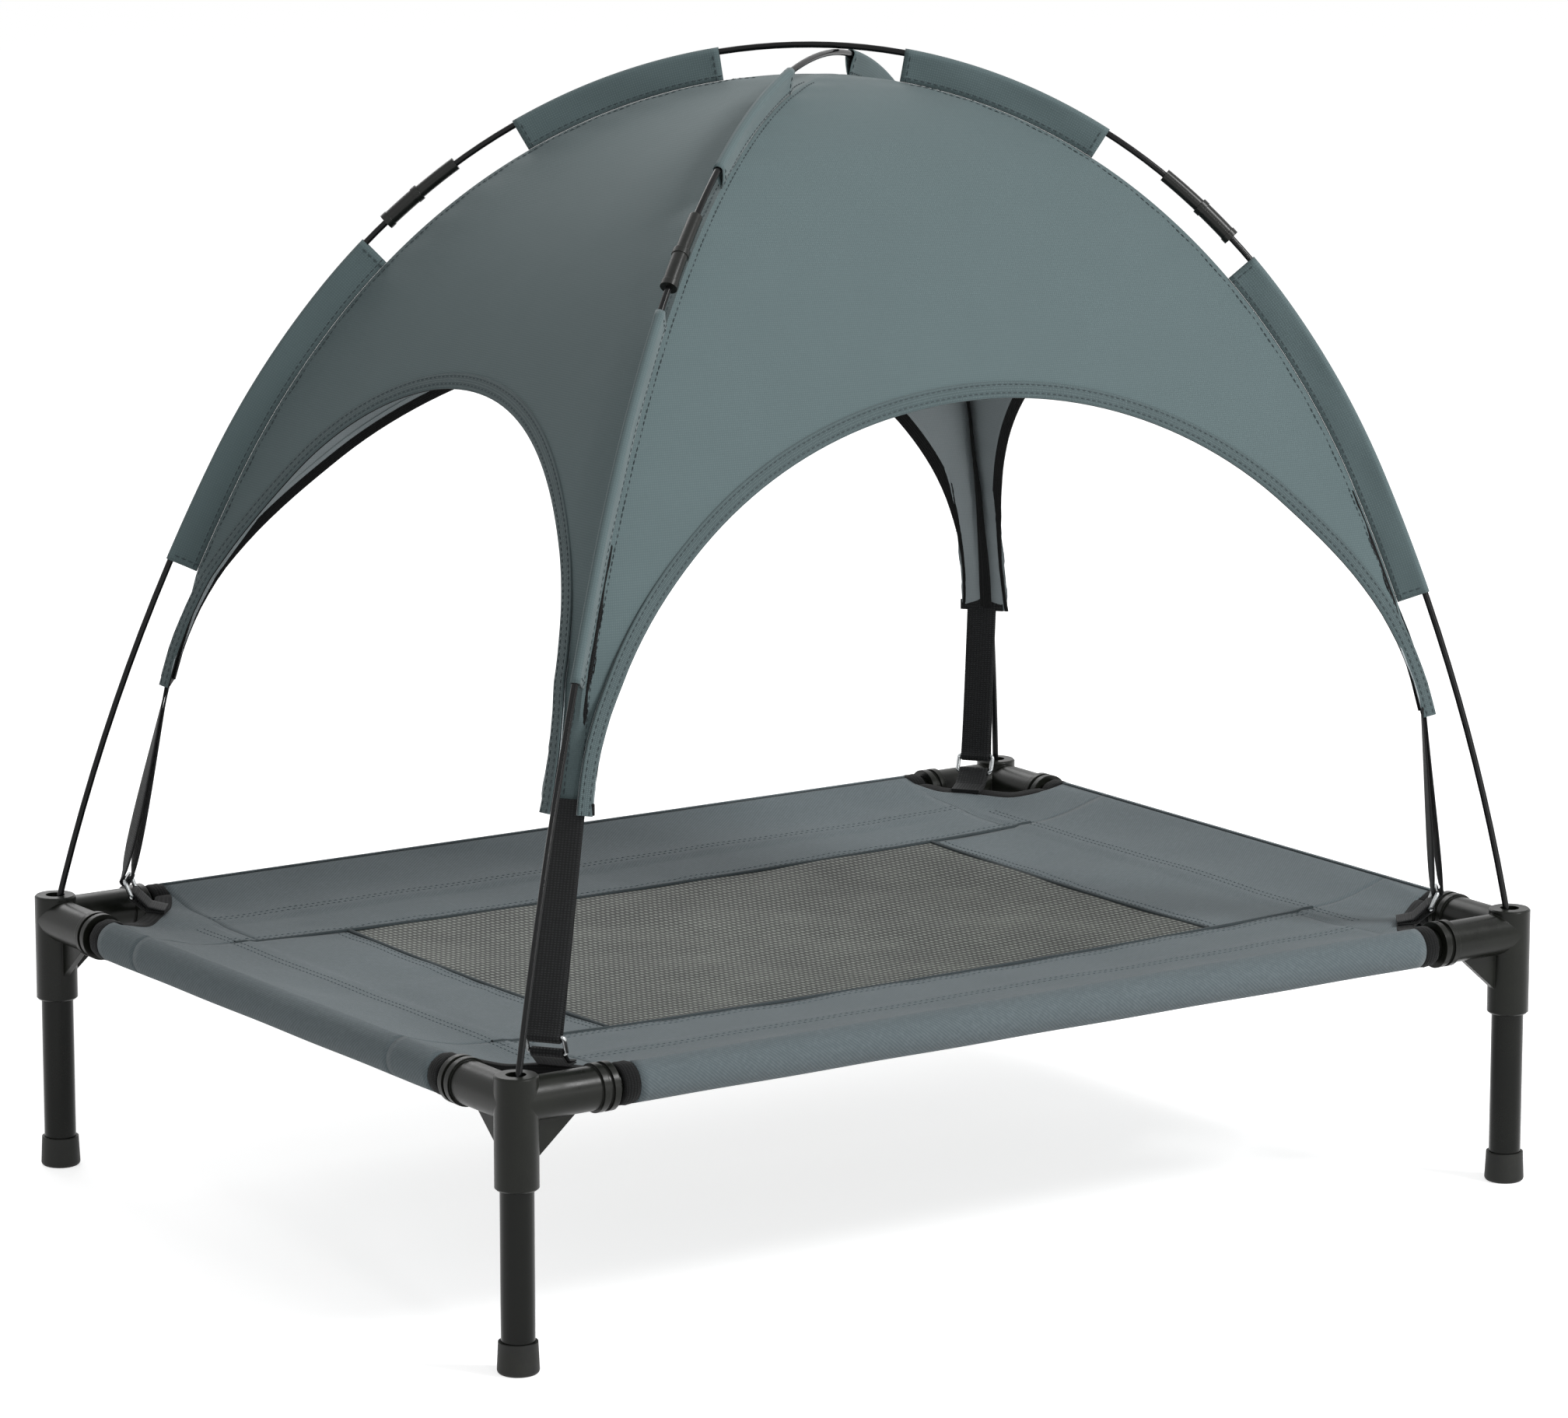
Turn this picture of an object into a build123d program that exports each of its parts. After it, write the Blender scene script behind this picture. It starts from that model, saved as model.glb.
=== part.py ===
"""Raised pet bed: a tube frame with a stretched sling and a lift-off dome canopy on two crossing hoops.

Millimetres. +X along the long side, +Y to the rear, +Z up. The origin is on the floor, under the
middle of the bed.
"""
import math
import os
from dataclasses import dataclass

from build123d import *

# Overall sizes
LEG_SPACING_X = 734.0
LEG_SPACING_Y = 546.0
OVERALL_HEIGHT = 711.0

# Frame tubes and the feet
TUBE_OD = 20.0
TUBE_WALL = 1.2
LEG_CLEARANCE = 0.08
RAIL_CLEARANCE = 0.1
CAP_HEIGHT = 19.0
CAP_TOP_DIAMETER = 23.2
CAP_FOOT_DIAMETER = 25.0
CAP_FLOOR = 3.0
CAP_ROUND = 2.5

# Moulded corner connector
CONNECTOR_TOP = 176.0
BARREL_DIAMETER = 26.0
BARREL_LENGTH = 67.0
ARM_DROP = 2.5
ARM_LENGTH = 62.0
ARM_FLOOR = 2.5
COLLAR_DIAMETER = 29.0
COLLAR_WIDTH = 4.0
COLLAR_PITCH = 7.0
GUSSET_REACH = 25.0
GUSSET_DROP = 21.5
GUSSET_THICKNESS = 4.5
POLE_HOLE_DIAMETER = 12.0
POLE_HOLE_DEPTH = 26.0
SOCKET_WEB = 5.0
MOULDED_EDGE = 1.0

# Sling: cloth strips with rail sleeves around a mesh middle
CLOTH = 1.2
SLEEVE_EASE = 0.3
HEM_INSET = 60.0
SLING_DROP = 0.5
MESH_LENGTH = 450.0
MESH_WIDTH = 302.0
PIPING_WIDTH = 3.0
PIPING_HEIGHT = 2.0
SLEEVE_START = 77.0
CUFF_WIDTH = 11.0
CUFF_THICKNESS = 1.9
CUTOUT_DEPTH = 59.4
CORNER_RISE = 7.0
CORNER_RUN = 50.0
BINDING_WIDTH = 10.0
BINDING_THICKNESS = 2.4

# Canopy hoops
ROD_DIAMETER = 4.0
ROD_FLOOR_GAP = 0.8
CROSSING_GAP = 0.3
OVER_LEAN = 5.8
OVER_CROWN_SHIFT = 18.0
UNDER_LEAN = -1.8
UNDER_CROWN_SHIFT = 29.0
ARCS_PER_SIDE = 6

# Ferrules that join the rod lengths, as distances along the rod from the crown
FERRULE_START = 238.0
FERRULE_LENGTH = 57.0
FERRULE_SOCKET_DIAMETER = 9.6
FERRULE_PLUG_DIAMETER = 8.4
FERRULE_LIP_DIAMETER = 10.6
FERRULE_LIP = 4.0
FERRULE_EASE = 0.1

# Cloth pole sleeves, as distances along the rod from the crown
UPPER_SLEEVE_START = 58.0
UPPER_SLEEVE_LENGTH = 136.0
LOWER_SLEEVE_START = 313.0
LOWER_SLEEVE_LENGTH = 236.0
FIN_WIDTH = 18.0
FIN_THICKNESS = 1.2
POCKET_WALL = 0.6
FIN_SEAT = 0.1

# Canopy panels, their arch openings and edge tapes
PANEL = 1.2
CROWN_TRIM = 1.5
RIDGE_ARCS = 6
TIP_DROP = 70.0
TIP_REACH = 18.0
TIP_WIDTH = 23.0
LONG_ARCH_RISE = 219.0
END_ARCH_RISE = 209.0
ARCH_TAPE_WIDTH = 10.0
ARCH_TAPE_EXTRA = 0.8
SEAM_TAPE_DEPTH = 8.0
SEAM_TAPE_THICKNESS = 1.6
SEAM_TAPE_SEAT = 1.6

# Elastic straps, their wire rings and the tabs that hold the rings
STRAP_WIDTH = 20.0
WEBBING = 1.2
WIRE_DIAMETER = 2.8
WIRE_EASE = 0.3
RING_SIDE_PLAY = 0.4
RING_HEIGHT = 14.0
RING_BEND = 2.0
RING_INSET = 50.0
RING_FOOT_RISE = 1.0
RING_TILT = 68.0
STRAP_END_GAP = 0.3
TAB_TAIL = 11.0
TAB_SEAT = 0.1

# Values that follow from the sizes above
HALF_X = LEG_SPACING_X / 2
HALF_Y = LEG_SPACING_Y / 2
HALF_DIAGONAL = math.hypot(HALF_X, HALF_Y)
TUBE_RADIUS = TUBE_OD / 2
BARREL_RADIUS = BARREL_DIAMETER / 2
BARREL_FOOT = CONNECTOR_TOP - BARREL_LENGTH
RAIL_Z = CONNECTOR_TOP - ARM_DROP - BARREL_RADIUS
RAIL_END = BARREL_RADIUS + ARM_FLOOR
LEG_TOP = CONNECTOR_TOP - POLE_HOLE_DEPTH - SOCKET_WEB
SLING_TOP = RAIL_Z - SLING_DROP
SLING_FOOT = SLING_TOP - CLOTH
SLEEVE_BORE = TUBE_RADIUS + SLEEVE_EASE
STRIP_EDGE_Y = MESH_WIDTH / 2 + PIPING_WIDTH / 2
MESH_EDGE_Y = MESH_WIDTH / 2 - PIPING_WIDTH / 2
STRIP_EDGE_X = MESH_LENGTH / 2 + PIPING_WIDTH / 2
MESH_EDGE_X = MESH_LENGTH / 2 - PIPING_WIDTH / 2
ROD_INSERT = POLE_HOLE_DEPTH - ROD_FLOOR_GAP
HOOP_FOOT_Z = CONNECTOR_TOP - ROD_INSERT / 2
ROD_RADIUS = ROD_DIAMETER / 2
POCKET_BORE = ROD_RADIUS + SLEEVE_EASE
CROSSING_DROP = ROD_DIAMETER + CROSSING_GAP
OVER_RIDGE = FIN_WIDTH
UNDER_RIDGE = FIN_WIDTH - CROSSING_DROP
WIRE_RADIUS = WIRE_DIAMETER / 2
LOOP_BORE = WIRE_RADIUS + WIRE_EASE
LOOP_RADIUS = LOOP_BORE + WEBBING

CORNERS = {
    "front_left": (-1, -1),
    "front_right": (1, -1),
    "rear_left": (-1, 1),
    "rear_right": (1, 1),
}


def cylinder_along(start, direction, length, radius):
    """A round bar from a start point along a direction."""
    return extrude(Plane(origin=start, z_dir=direction) * Circle(radius), length)


def tube_along(start, direction, length, outer, inner):
    """A round tube from a start point along a direction."""
    section = Circle(outer) - Circle(inner)
    return extrude(Plane(origin=start, z_dir=direction) * section, length)


# Frame

def corner_connector(x_side, y_side):
    """Barrel for the leg and the pole tip, with two ribbed arms for the rails."""
    axis = Vector(x_side * HALF_X, y_side * HALF_Y, 0)
    foot = axis + Vector(0, 0, BARREL_FOOT)
    barrel = cylinder_along(foot, (0, 0, 1), BARREL_LENGTH, BARREL_RADIUS)
    body = chamfer(barrel.edges().filter_by(GeomType.CIRCLE), MOULDED_EDGE)
    arms = [Vector(-x_side, 0, 0), Vector(0, -y_side, 0)]
    for arm in arms:
        body += connector_arm(axis, arm)
    for arm in arms:
        start = axis + arm * RAIL_END + Vector(0, 0, RAIL_Z)
        body -= cylinder_along(start, arm, ARM_LENGTH, TUBE_RADIUS + RAIL_CLEARANCE)
    pole_floor = axis + Vector(0, 0, CONNECTOR_TOP - POLE_HOLE_DEPTH)
    body -= cylinder_along(pole_floor, (0, 0, 1), POLE_HOLE_DEPTH, POLE_HOLE_DIAMETER / 2)
    body -= cylinder_along(foot, (0, 0, 1), LEG_TOP - BARREL_FOOT, TUBE_RADIUS + LEG_CLEARANCE)
    return body


def connector_arm(axis, arm):
    """One arm with its two collars and the gusset under it."""
    root = axis + Vector(0, 0, RAIL_Z)
    solid = cylinder_along(root, arm, ARM_LENGTH, BARREL_RADIUS)
    for step in range(2):
        reach = ARM_LENGTH - COLLAR_WIDTH - step * COLLAR_PITCH
        solid += cylinder_along(root + arm * reach, arm, COLLAR_WIDTH, COLLAR_DIAMETER / 2)
    plane = Plane(origin=root, x_dir=arm, z_dir=arm.cross(Vector(0, 0, 1)))
    outline = Polyline(
        (0, 0),
        (BARREL_RADIUS + GUSSET_REACH, 0),
        (BARREL_RADIUS + GUSSET_REACH, -BARREL_RADIUS),
        (BARREL_RADIUS, -BARREL_RADIUS - GUSSET_DROP),
        (0, -BARREL_RADIUS - GUSSET_DROP),
        close=True,
    )
    return solid + extrude(plane * make_face(outline), GUSSET_THICKNESS / 2, both=True)


def rails():
    """The four rail tubes, from connector to connector."""
    inner = TUBE_RADIUS - TUBE_WALL
    made = {}
    for name, side in (("front", -1), ("rear", 1)):
        start = (-HALF_X + RAIL_END, side * HALF_Y, RAIL_Z)
        made[f"rail_{name}"] = tube_along(start, (1, 0, 0), LEG_SPACING_X - 2 * RAIL_END, TUBE_RADIUS, inner)
    for name, side in (("left", -1), ("right", 1)):
        start = (side * HALF_X, -HALF_Y + RAIL_END, RAIL_Z)
        made[f"rail_{name}"] = tube_along(start, (0, 1, 0), LEG_SPACING_Y - 2 * RAIL_END, TUBE_RADIUS, inner)
    return made


def leg_tube(x_side, y_side):
    """Leg tube from the floor of its foot cap to the web inside the connector."""
    start = (x_side * HALF_X, y_side * HALF_Y, CAP_FLOOR)
    return tube_along(start, (0, 0, 1), LEG_TOP - CAP_FLOOR, TUBE_RADIUS, TUBE_RADIUS - TUBE_WALL)


def foot_cap(x_side, y_side):
    """Moulded cap that flares towards the floor, turned about the leg's axis."""
    bore = TUBE_RADIUS
    top = CAP_TOP_DIAMETER / 2
    base = CAP_FOOT_DIAMETER / 2
    outline = Polyline(
        (0, 0),
        (base, 0),
        (top, CAP_HEIGHT),
        (bore, CAP_HEIGHT),
        (bore, CAP_FLOOR),
        (0, CAP_FLOOR),
        close=True,
    )
    profile = make_face(outline)
    rim = profile.vertices().sort_by(Axis.X)[-1]
    profile = fillet(rim, CAP_ROUND)
    cap = revolve(Plane.XZ * profile, Axis.Z)
    return Pos(x_side * HALF_X, y_side * HALF_Y, 0) * cap


# Sling

def sleeve_section(radius, hem_radius, hem_inset):
    """Drop-shaped outline round a rail, drawn in to the hem seam."""
    hem = Pos(hem_inset, -SLING_DROP - CLOTH / 2) * Circle(hem_radius)
    return make_hull(Circle(radius).edges() + hem.edges())


def sleeve_outer():
    """Outside of a rail sleeve."""
    return sleeve_section(SLEEVE_BORE + CLOTH, CLOTH / 2, HEM_INSET)


def sleeve_inner():
    """Hollow of a rail sleeve, one cloth thickness inside it."""
    slope = math.asin((SLEEVE_BORE + CLOTH / 2) / HEM_INSET)
    return sleeve_section(SLEEVE_BORE, CLOTH / 20, HEM_INSET - CLOTH / 2 / math.sin(slope))


def along_rail(section, start, inward, length):
    """A sleeve section drawn along its rail; inward points to the middle of the bed."""
    plane = Plane(origin=start, x_dir=inward, z_dir=inward.cross(Vector(0, 0, 1)))
    return extrude(plane * section, length)


def cloth_plate(x_from, x_to, y_from, y_to):
    """Flat cloth between two pairs of limits, at the level of the sling."""
    width, depth = x_to - x_from, y_to - y_from
    return Pos((x_from + x_to) / 2, (y_from + y_to) / 2, SLING_FOOT) * Box(
        width, depth, CLOTH, align=(Align.CENTER, Align.CENTER, Align.MIN)
    )


def corner_axis(x_side, y_side, z=0.0):
    """Point on the upright axis of a corner."""
    return Vector(x_side * HALF_X, y_side * HALF_Y, z)


def corner_plane(x_side, y_side):
    """Upright plane from the middle of the bed through a corner: local x outwards, local y up."""
    outward = corner_axis(x_side, y_side).normalized()
    return Plane(origin=(0, 0, 0), x_dir=outward, z_dir=outward.cross(Vector(0, 0, 1)))


def cutout(x_side, y_side, reach, depth):
    """Cutting block for a corner of the sling: straight across both rails, bowed between them."""
    def spot(along_x, along_y):
        return corner_axis(x_side, y_side) - Vector(x_side * along_x, y_side * along_y)

    past = -BARREL_DIAMETER
    middle = depth / math.sqrt(2)
    bow = ThreePointArc(spot(reach, TUBE_RADIUS), spot(middle, middle), spot(TUBE_RADIUS, reach))
    rest = Polyline(
        spot(TUBE_RADIUS, reach),
        spot(past, reach),
        spot(past, past),
        spot(reach, past),
        spot(reach, TUBE_RADIUS),
    )
    return extrude(make_face(bow.edges() + rest.edges()), OVERALL_HEIGHT)


def cloth_cutout(x_side, y_side):
    """Corner cut-out of the cloth, which stops where the binding starts."""
    return cutout(x_side, y_side, SLEEVE_START, CUTOUT_DEPTH + BINDING_WIDTH)


def corner_slope(x_side, y_side, thickness, start, end, half_width):
    """Sheet that climbs from the flat sling to the raised edge of a corner cut-out."""
    edge = HALF_DIAGONAL - CUTOUT_DEPTH
    grade = CORNER_RISE / CORNER_RUN
    top = SLING_TOP + CORNER_RISE + (thickness - CLOTH) / 2

    def spot(inward, drop):
        return (edge - inward, top - inward * grade - drop)

    outline = Polyline(
        spot(start, 0), spot(end, 0), spot(end, thickness), spot(start, thickness), close=True
    )
    return extrude(corner_plane(x_side, y_side) * make_face(outline), half_width, both=True)


def cuff_starts(x_side, y_side):
    """Start point and direction of the binding's cuff on each rail of a corner."""
    root = corner_axis(x_side, y_side, RAIL_Z)
    arms = [Vector(-x_side, 0, 0), Vector(0, -y_side, 0)]
    return [(root + arm * (SLEEVE_START - CUFF_WIDTH), arm) for arm in arms]


def long_strip(y_side):
    """Cloth strip along a long rail, with a sleeve there and on the near ends of both end rails."""
    run = LEG_SPACING_X - 2 * SLEEVE_START
    end_run = HALF_Y - SLEEVE_START - STRIP_EDGE_Y
    start = Vector(y_side * run / 2, y_side * HALF_Y, RAIL_Z)
    inward = Vector(0, -y_side, 0)
    outer = along_rail(sleeve_outer(), start, inward, run)
    hollow = along_rail(sleeve_inner(), start, inward, run)
    flat_x = HALF_X - HEM_INSET / 2
    flat_y = sorted((y_side * STRIP_EDGE_Y, y_side * (HALF_Y - HEM_INSET / 2)))
    outer += cloth_plate(-flat_x, flat_x, *flat_y)
    end_y = sorted((y_side * STRIP_EDGE_Y, y_side * (HALF_Y - SLEEVE_START)))
    for x_side in (-1, 1):
        end_start = Vector(x_side * HALF_X, end_y[0] if x_side > 0 else end_y[1], RAIL_Z)
        end_inward = Vector(-x_side, 0, 0)
        outer += along_rail(sleeve_outer(), end_start, end_inward, end_run)
        hollow += along_rail(sleeve_inner(), end_start, end_inward, end_run)
        outer += corner_slope(x_side, y_side, CLOTH, 0, CORNER_RUN, SLEEVE_START / 2)
    strip = outer - hollow
    for x_side in (-1, 1):
        strip -= cloth_cutout(x_side, y_side)
        for start, arm in cuff_starts(x_side, y_side):
            strip -= cylinder_along(start, arm, CUFF_WIDTH, SLEEVE_BORE + CUFF_THICKNESS)
    return strip


def end_strip(x_side):
    """Cloth strip along an end rail, between the two long strips."""
    run = 2 * STRIP_EDGE_Y
    start = Vector(x_side * HALF_X, -x_side * run / 2, RAIL_Z)
    inward = Vector(-x_side, 0, 0)
    outer = along_rail(sleeve_outer(), start, inward, run)
    flat_x = sorted((x_side * STRIP_EDGE_X, x_side * (HALF_X - HEM_INSET / 2)))
    outer += cloth_plate(*flat_x, -MESH_EDGE_Y, MESH_EDGE_Y)
    return outer - along_rail(sleeve_inner(), start, inward, run)


def seam_piping():
    """Raised piping in the seams round the mesh and on along the long strips."""
    middle = SLING_FOOT + CLOTH / 2
    run_x = LEG_SPACING_X - 2 * (HEM_INSET + CLOTH)
    pieces = []
    for side in (-1, 1):
        long_piece = Box(run_x, PIPING_WIDTH, PIPING_HEIGHT)
        short_piece = Box(PIPING_WIDTH, 2 * MESH_EDGE_Y, PIPING_HEIGHT)
        pieces.append(Pos(0, side * MESH_WIDTH / 2, middle) * long_piece)
        pieces.append(Pos(side * MESH_LENGTH / 2, 0, middle) * short_piece)
    return pieces


def corner_binding(x_side, y_side):
    """Tape along a corner cut-out, with a cuff round each rail where its sleeve ends."""
    cuff_start = SLEEVE_START - CUFF_WIDTH
    past = BINDING_WIDTH * 2
    band = corner_slope(x_side, y_side, BINDING_THICKNESS, -past, past, SLEEVE_START)
    band &= cloth_cutout(x_side, y_side) - cutout(x_side, y_side, cuff_start, CUTOUT_DEPTH)
    band &= Box(LEG_SPACING_X - TUBE_OD, LEG_SPACING_Y - TUBE_OD, OVERALL_HEIGHT)
    for start, arm in cuff_starts(x_side, y_side):
        band -= cylinder_along(start, arm, SLEEVE_START, SLEEVE_BORE)
        band += tube_along(start, arm, CUFF_WIDTH, SLEEVE_BORE + CUFF_THICKNESS, SLEEVE_BORE)
    return band


# Canopy hoops

@dataclass
class Arc:
    """Stretch of a bent rod: radius, start and end angle from level, and its centre."""

    radius: float
    start: float
    end: float
    centre: Vector

    @property
    def run(self):
        return self.radius * (self.end - self.start)

    def spot(self, angle, inset):
        reach = self.radius - inset
        return self.centre + Vector(math.sin(angle), math.cos(angle)) * reach


def bend_arcs(rise, end_angle):
    """Tangent arcs down one side of a bent rod, tighter towards the crown as a sprung rod is."""
    angles = [end_angle * step / ARCS_PER_SIDE for step in range(ARCS_PER_SIDE + 1)]
    fall = 1 - math.cos(end_angle)
    heights = [rise * math.sqrt(max(0.0, 1 - (1 - math.cos(angle)) / fall)) for angle in angles]
    arcs = []
    x = 0.0
    for step in range(ARCS_PER_SIDE):
        start, end = angles[step], angles[step + 1]
        radius = (heights[step] - heights[step + 1]) / (math.cos(start) - math.cos(end))
        centre = Vector(x - radius * math.sin(start), heights[step] - radius * math.cos(start))
        arcs.append(Arc(radius, start, end, centre))
        x += radius * (math.sin(end) - math.sin(start))
    return arcs, x


def bend(reach, rise):
    """Arcs of a rod side that drops by the rise over the reach."""
    low, high = math.radians(10), math.radians(170)
    for _ in range(60):
        middle = (low + high) / 2
        if bend_arcs(rise, middle)[1] > reach:
            low = middle
        else:
            high = middle
    return bend_arcs(rise, low)[0]


class Hoop:
    """A sprung rod between two opposite corners. Lengths run from the crown, negative to the left."""

    def __init__(self, y_sign, lean, crown_shift, rise, ridge):
        self.along = Vector(HALF_X, y_sign * HALF_Y, 0).normalized()
        self.across = Vector(-self.along.Y, self.along.X, 0)
        self.lean = math.radians(lean)
        self.crown_shift = crown_shift
        self.rise = rise
        self.ridge = ridge
        self.crossing = 0.0
        up = Vector(0, 0, math.cos(self.lean)) + self.across * math.sin(self.lean)
        self.plane = Plane(origin=(0, 0, HOOP_FOOT_Z), x_dir=self.along, z_dir=self.along.cross(up))
        self.sides = {
            1: bend(HALF_DIAGONAL - crown_shift, rise),
            -1: bend(HALF_DIAGONAL + crown_shift, rise),
        }

    def side_length(self, side):
        """Length of a side from the crown to the level of the hoop's foot."""
        return sum(arc.run for arc in self.sides[side])

    def rod_end(self, side):
        """Length at which the rod ends inside its connector."""
        return self.side_length(side) + ROD_INSERT / 2 / math.sin(self.sides[side][-1].end)

    def place(self, length, inset=0.0):
        """Point of the hoop in its own plane, moved inwards by an inset."""
        side = 1 if length >= 0 else -1
        left = abs(length)
        for arc in self.sides[side]:
            if left <= arc.run:
                spot = arc.spot(arc.start + left / arc.radius, inset)
                return Vector(self.crown_shift + side * spot.X, spot.Y)
            left -= arc.run
        foot = arc.spot(arc.end, inset) + Vector(math.cos(arc.end), -math.sin(arc.end)) * left
        return Vector(self.crown_shift + side * foot.X, foot.Y)

    def world(self, spot):
        """Point of the hoop's plane in the bed's frame."""
        return self.plane.from_local_coords(spot)

    def breaks(self):
        """Lengths at which one arc ends and the next starts."""
        marks = [0.0]
        for side, arcs in self.sides.items():
            total = 0.0
            for arc in arcs:
                total += arc.run
                marks.append(side * total)
        return marks

    def trace(self, start, end, inset=0.0):
        """Edges of the hoop between two lengths."""
        inside = [mark for mark in self.breaks() if start + 0.01 < mark < end - 0.01]
        stations = [start, *sorted(inside), end]
        edges = []
        for first, last in zip(stations, stations[1:]):
            middle = (first + last) / 2
            side = 1 if middle > 0 else -1
            ends = self.place(first, inset), self.place(last, inset)
            if abs(middle) > self.side_length(side):
                edges.append(Line(*ends))
            else:
                edges.append(ThreePointArc(ends[0], self.place(middle, inset), ends[1]))
        return edges

    def rod(self, start, end, radius):
        """Round bar along the hoop between two lengths."""
        path = Wire([curve.edge() for curve in self.trace(start, end)])
        section = Plane(origin=path @ 0, z_dir=path % 0) * Circle(radius)
        return self.plane * sweep(section, path=path)

    def length_at(self, along):
        """Length of the point that lies this far along the hoop's line of feet."""
        low, high = -self.side_length(-1), self.side_length(1)
        for _ in range(60):
            middle = (low + high) / 2
            if self.place(middle).X < along:
                low = middle
            else:
                high = middle
        return low


def crossed_hoops():
    """The over hoop at full height, and the under hoop raised until it just clears it."""
    over_rise = (OVERALL_HEIGHT - ROD_RADIUS - HOOP_FOOT_Z) / math.cos(math.radians(OVER_LEAN))
    over = Hoop(-1, OVER_LEAN, OVER_CROWN_SHIFT, over_rise, OVER_RIDGE)
    under_rise = over_rise - CROSSING_DROP
    heights = [over_rise, under_rise]
    for _ in range(12):
        under = Hoop(1, UNDER_LEAN, UNDER_CROWN_SHIFT, under_rise, UNDER_RIDGE)
        offsets = [height * math.sin(hoop.lean) for height, hoop in zip(heights, (over, under))]
        turn = over.across.cross(under.across).Z
        x = (offsets[0] * under.across.Y - offsets[1] * over.across.Y) / turn
        y = (over.across.X * offsets[1] - under.across.X * offsets[0]) / turn
        for index, hoop in enumerate((over, under)):
            hoop.crossing = hoop.length_at(Vector(x, y).dot(hoop.along))
            heights[index] = hoop.place(hoop.crossing).Y
        wanted = (heights[0] * math.cos(over.lean) - CROSSING_DROP) / math.cos(under.lean)
        under_rise += wanted - heights[1]
    return over, under


OVER, UNDER = crossed_hoops()
HOOP_AT = {
    "front_left": (UNDER, -1),
    "front_right": (OVER, 1),
    "rear_left": (OVER, -1),
    "rear_right": (UNDER, 1),
}
FERRULE_MIDDLE = FERRULE_START + FERRULE_LENGTH / 2
LOWER_SLEEVE_END = LOWER_SLEEVE_START + LOWER_SLEEVE_LENGTH


def span(side, start, end):
    """A stretch on one side of a hoop as two lengths in rising order."""
    return sorted((side * start, side * end))


def pole_lengths():
    """Each hoop as a crown rod between two ferrules and a rod down to each connector."""
    made = {}
    for name, hoop in (("over", OVER), ("under", UNDER)):
        made[f"pole_crown_{name}"] = hoop.rod(-FERRULE_MIDDLE, FERRULE_MIDDLE, ROD_RADIUS)
    for corner, (hoop, side) in HOOP_AT.items():
        stretch = span(side, FERRULE_MIDDLE, hoop.rod_end(side))
        made[f"pole_side_{corner}"] = hoop.rod(*stretch, ROD_RADIUS)
    return made


def ferrule(hoop, side):
    """Two-part joint of the rod lengths: a thin plug above and a thicker socket below, with lips."""
    end = FERRULE_START + FERRULE_LENGTH
    plug = hoop.rod(*span(side, FERRULE_START, FERRULE_MIDDLE), FERRULE_PLUG_DIAMETER / 2)
    body = plug + hoop.rod(*span(side, FERRULE_MIDDLE, end), FERRULE_SOCKET_DIAMETER / 2)
    for start in (FERRULE_MIDDLE, end - FERRULE_LIP):
        body += hoop.rod(*span(side, start, start + FERRULE_LIP), FERRULE_LIP_DIAMETER / 2)
    return body - hoop.rod(*span(side, FERRULE_START, end), ROD_RADIUS + FERRULE_EASE)


def pole_sleeve(hoop, side, start, length):
    """Cloth fin between the canopy's ridge seam and the rod, with a pocket round the rod."""
    first, last = span(side, start, start + length)
    outer = hoop.trace(first, last, POCKET_BORE + POCKET_WALL / 2)
    inner = hoop.trace(first, last, hoop.ridge - FIN_SEAT)
    ends = [Line(outer[0] @ 0, inner[0] @ 0), Line(outer[-1] @ 1, inner[-1] @ 1)]
    face = make_face([curve.edge() for curve in outer + inner + ends])
    fin = hoop.plane * extrude(face, FIN_THICKNESS / 2, both=True)
    pocket = hoop.rod(first, last, POCKET_BORE + POCKET_WALL)
    return fin + pocket - hoop.rod(first, last, POCKET_BORE)


# Canopy cloth

def ridge_lengths(hoop, side):
    """Even steps along a ridge, from beside the crossing to the foot of the lower sleeve."""
    first = hoop.crossing + side * CROWN_TRIM
    last = side * LOWER_SLEEVE_END
    return [first + (last - first) * step / RIDGE_ARCS for step in range(RIDGE_ARCS + 1)]


def ridge_tip(hoop, side, inset):
    """Lower tip of a ridge, below the foot of the lower sleeve."""
    foot = hoop.place(side * LOWER_SLEEVE_END, hoop.ridge)
    return foot + Vector(side * (TIP_REACH - inset), -TIP_DROP)


def ridge_strip(hoop, side, outer, inner):
    """Thin face in a hoop's plane along its ridge, between two insets from the ridge line."""
    lengths = ridge_lengths(hoop, side)

    def arcs(inset):
        made = []
        for first, last in zip(lengths, lengths[1:]):
            spots = [hoop.place(at, hoop.ridge + inset) for at in (first, (first + last) / 2, last)]
            made.append(ThreePointArc(*spots))
        return made

    tips = [ridge_tip(hoop, side, inset) for inset in (outer, inner)]
    outside, inside = arcs(outer), arcs(inner)
    lines = [
        Line(outside[-1] @ 1, tips[0]),
        Line(tips[0], tips[1]),
        Line(tips[1], inside[-1] @ 1),
        Line(inside[0] @ 0, outside[0] @ 0),
    ]
    return make_face([curve.edge() for curve in outside + inside + lines])


PANELS = {
    "front": ("front_left", "front_right", Plane.XZ, Axis.X, LONG_ARCH_RISE),
    "right": ("front_right", "rear_right", Plane.YZ, Axis.Y, END_ARCH_RISE),
    "rear": ("rear_left", "rear_right", Plane.XZ, Axis.X, LONG_ARCH_RISE),
    "left": ("front_left", "rear_left", Plane.YZ, Axis.Y, END_ARCH_RISE),
}


def panel_sheet(first, second, outer, inner):
    """Sheet of straight lines from one ridge to the next, between two insets."""
    faces = []
    for corner in (first, second):
        hoop, side = HOOP_AT[corner]
        faces.append(hoop.plane * ridge_strip(hoop, side, outer, inner))
    return loft(faces, ruled=True)


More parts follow.
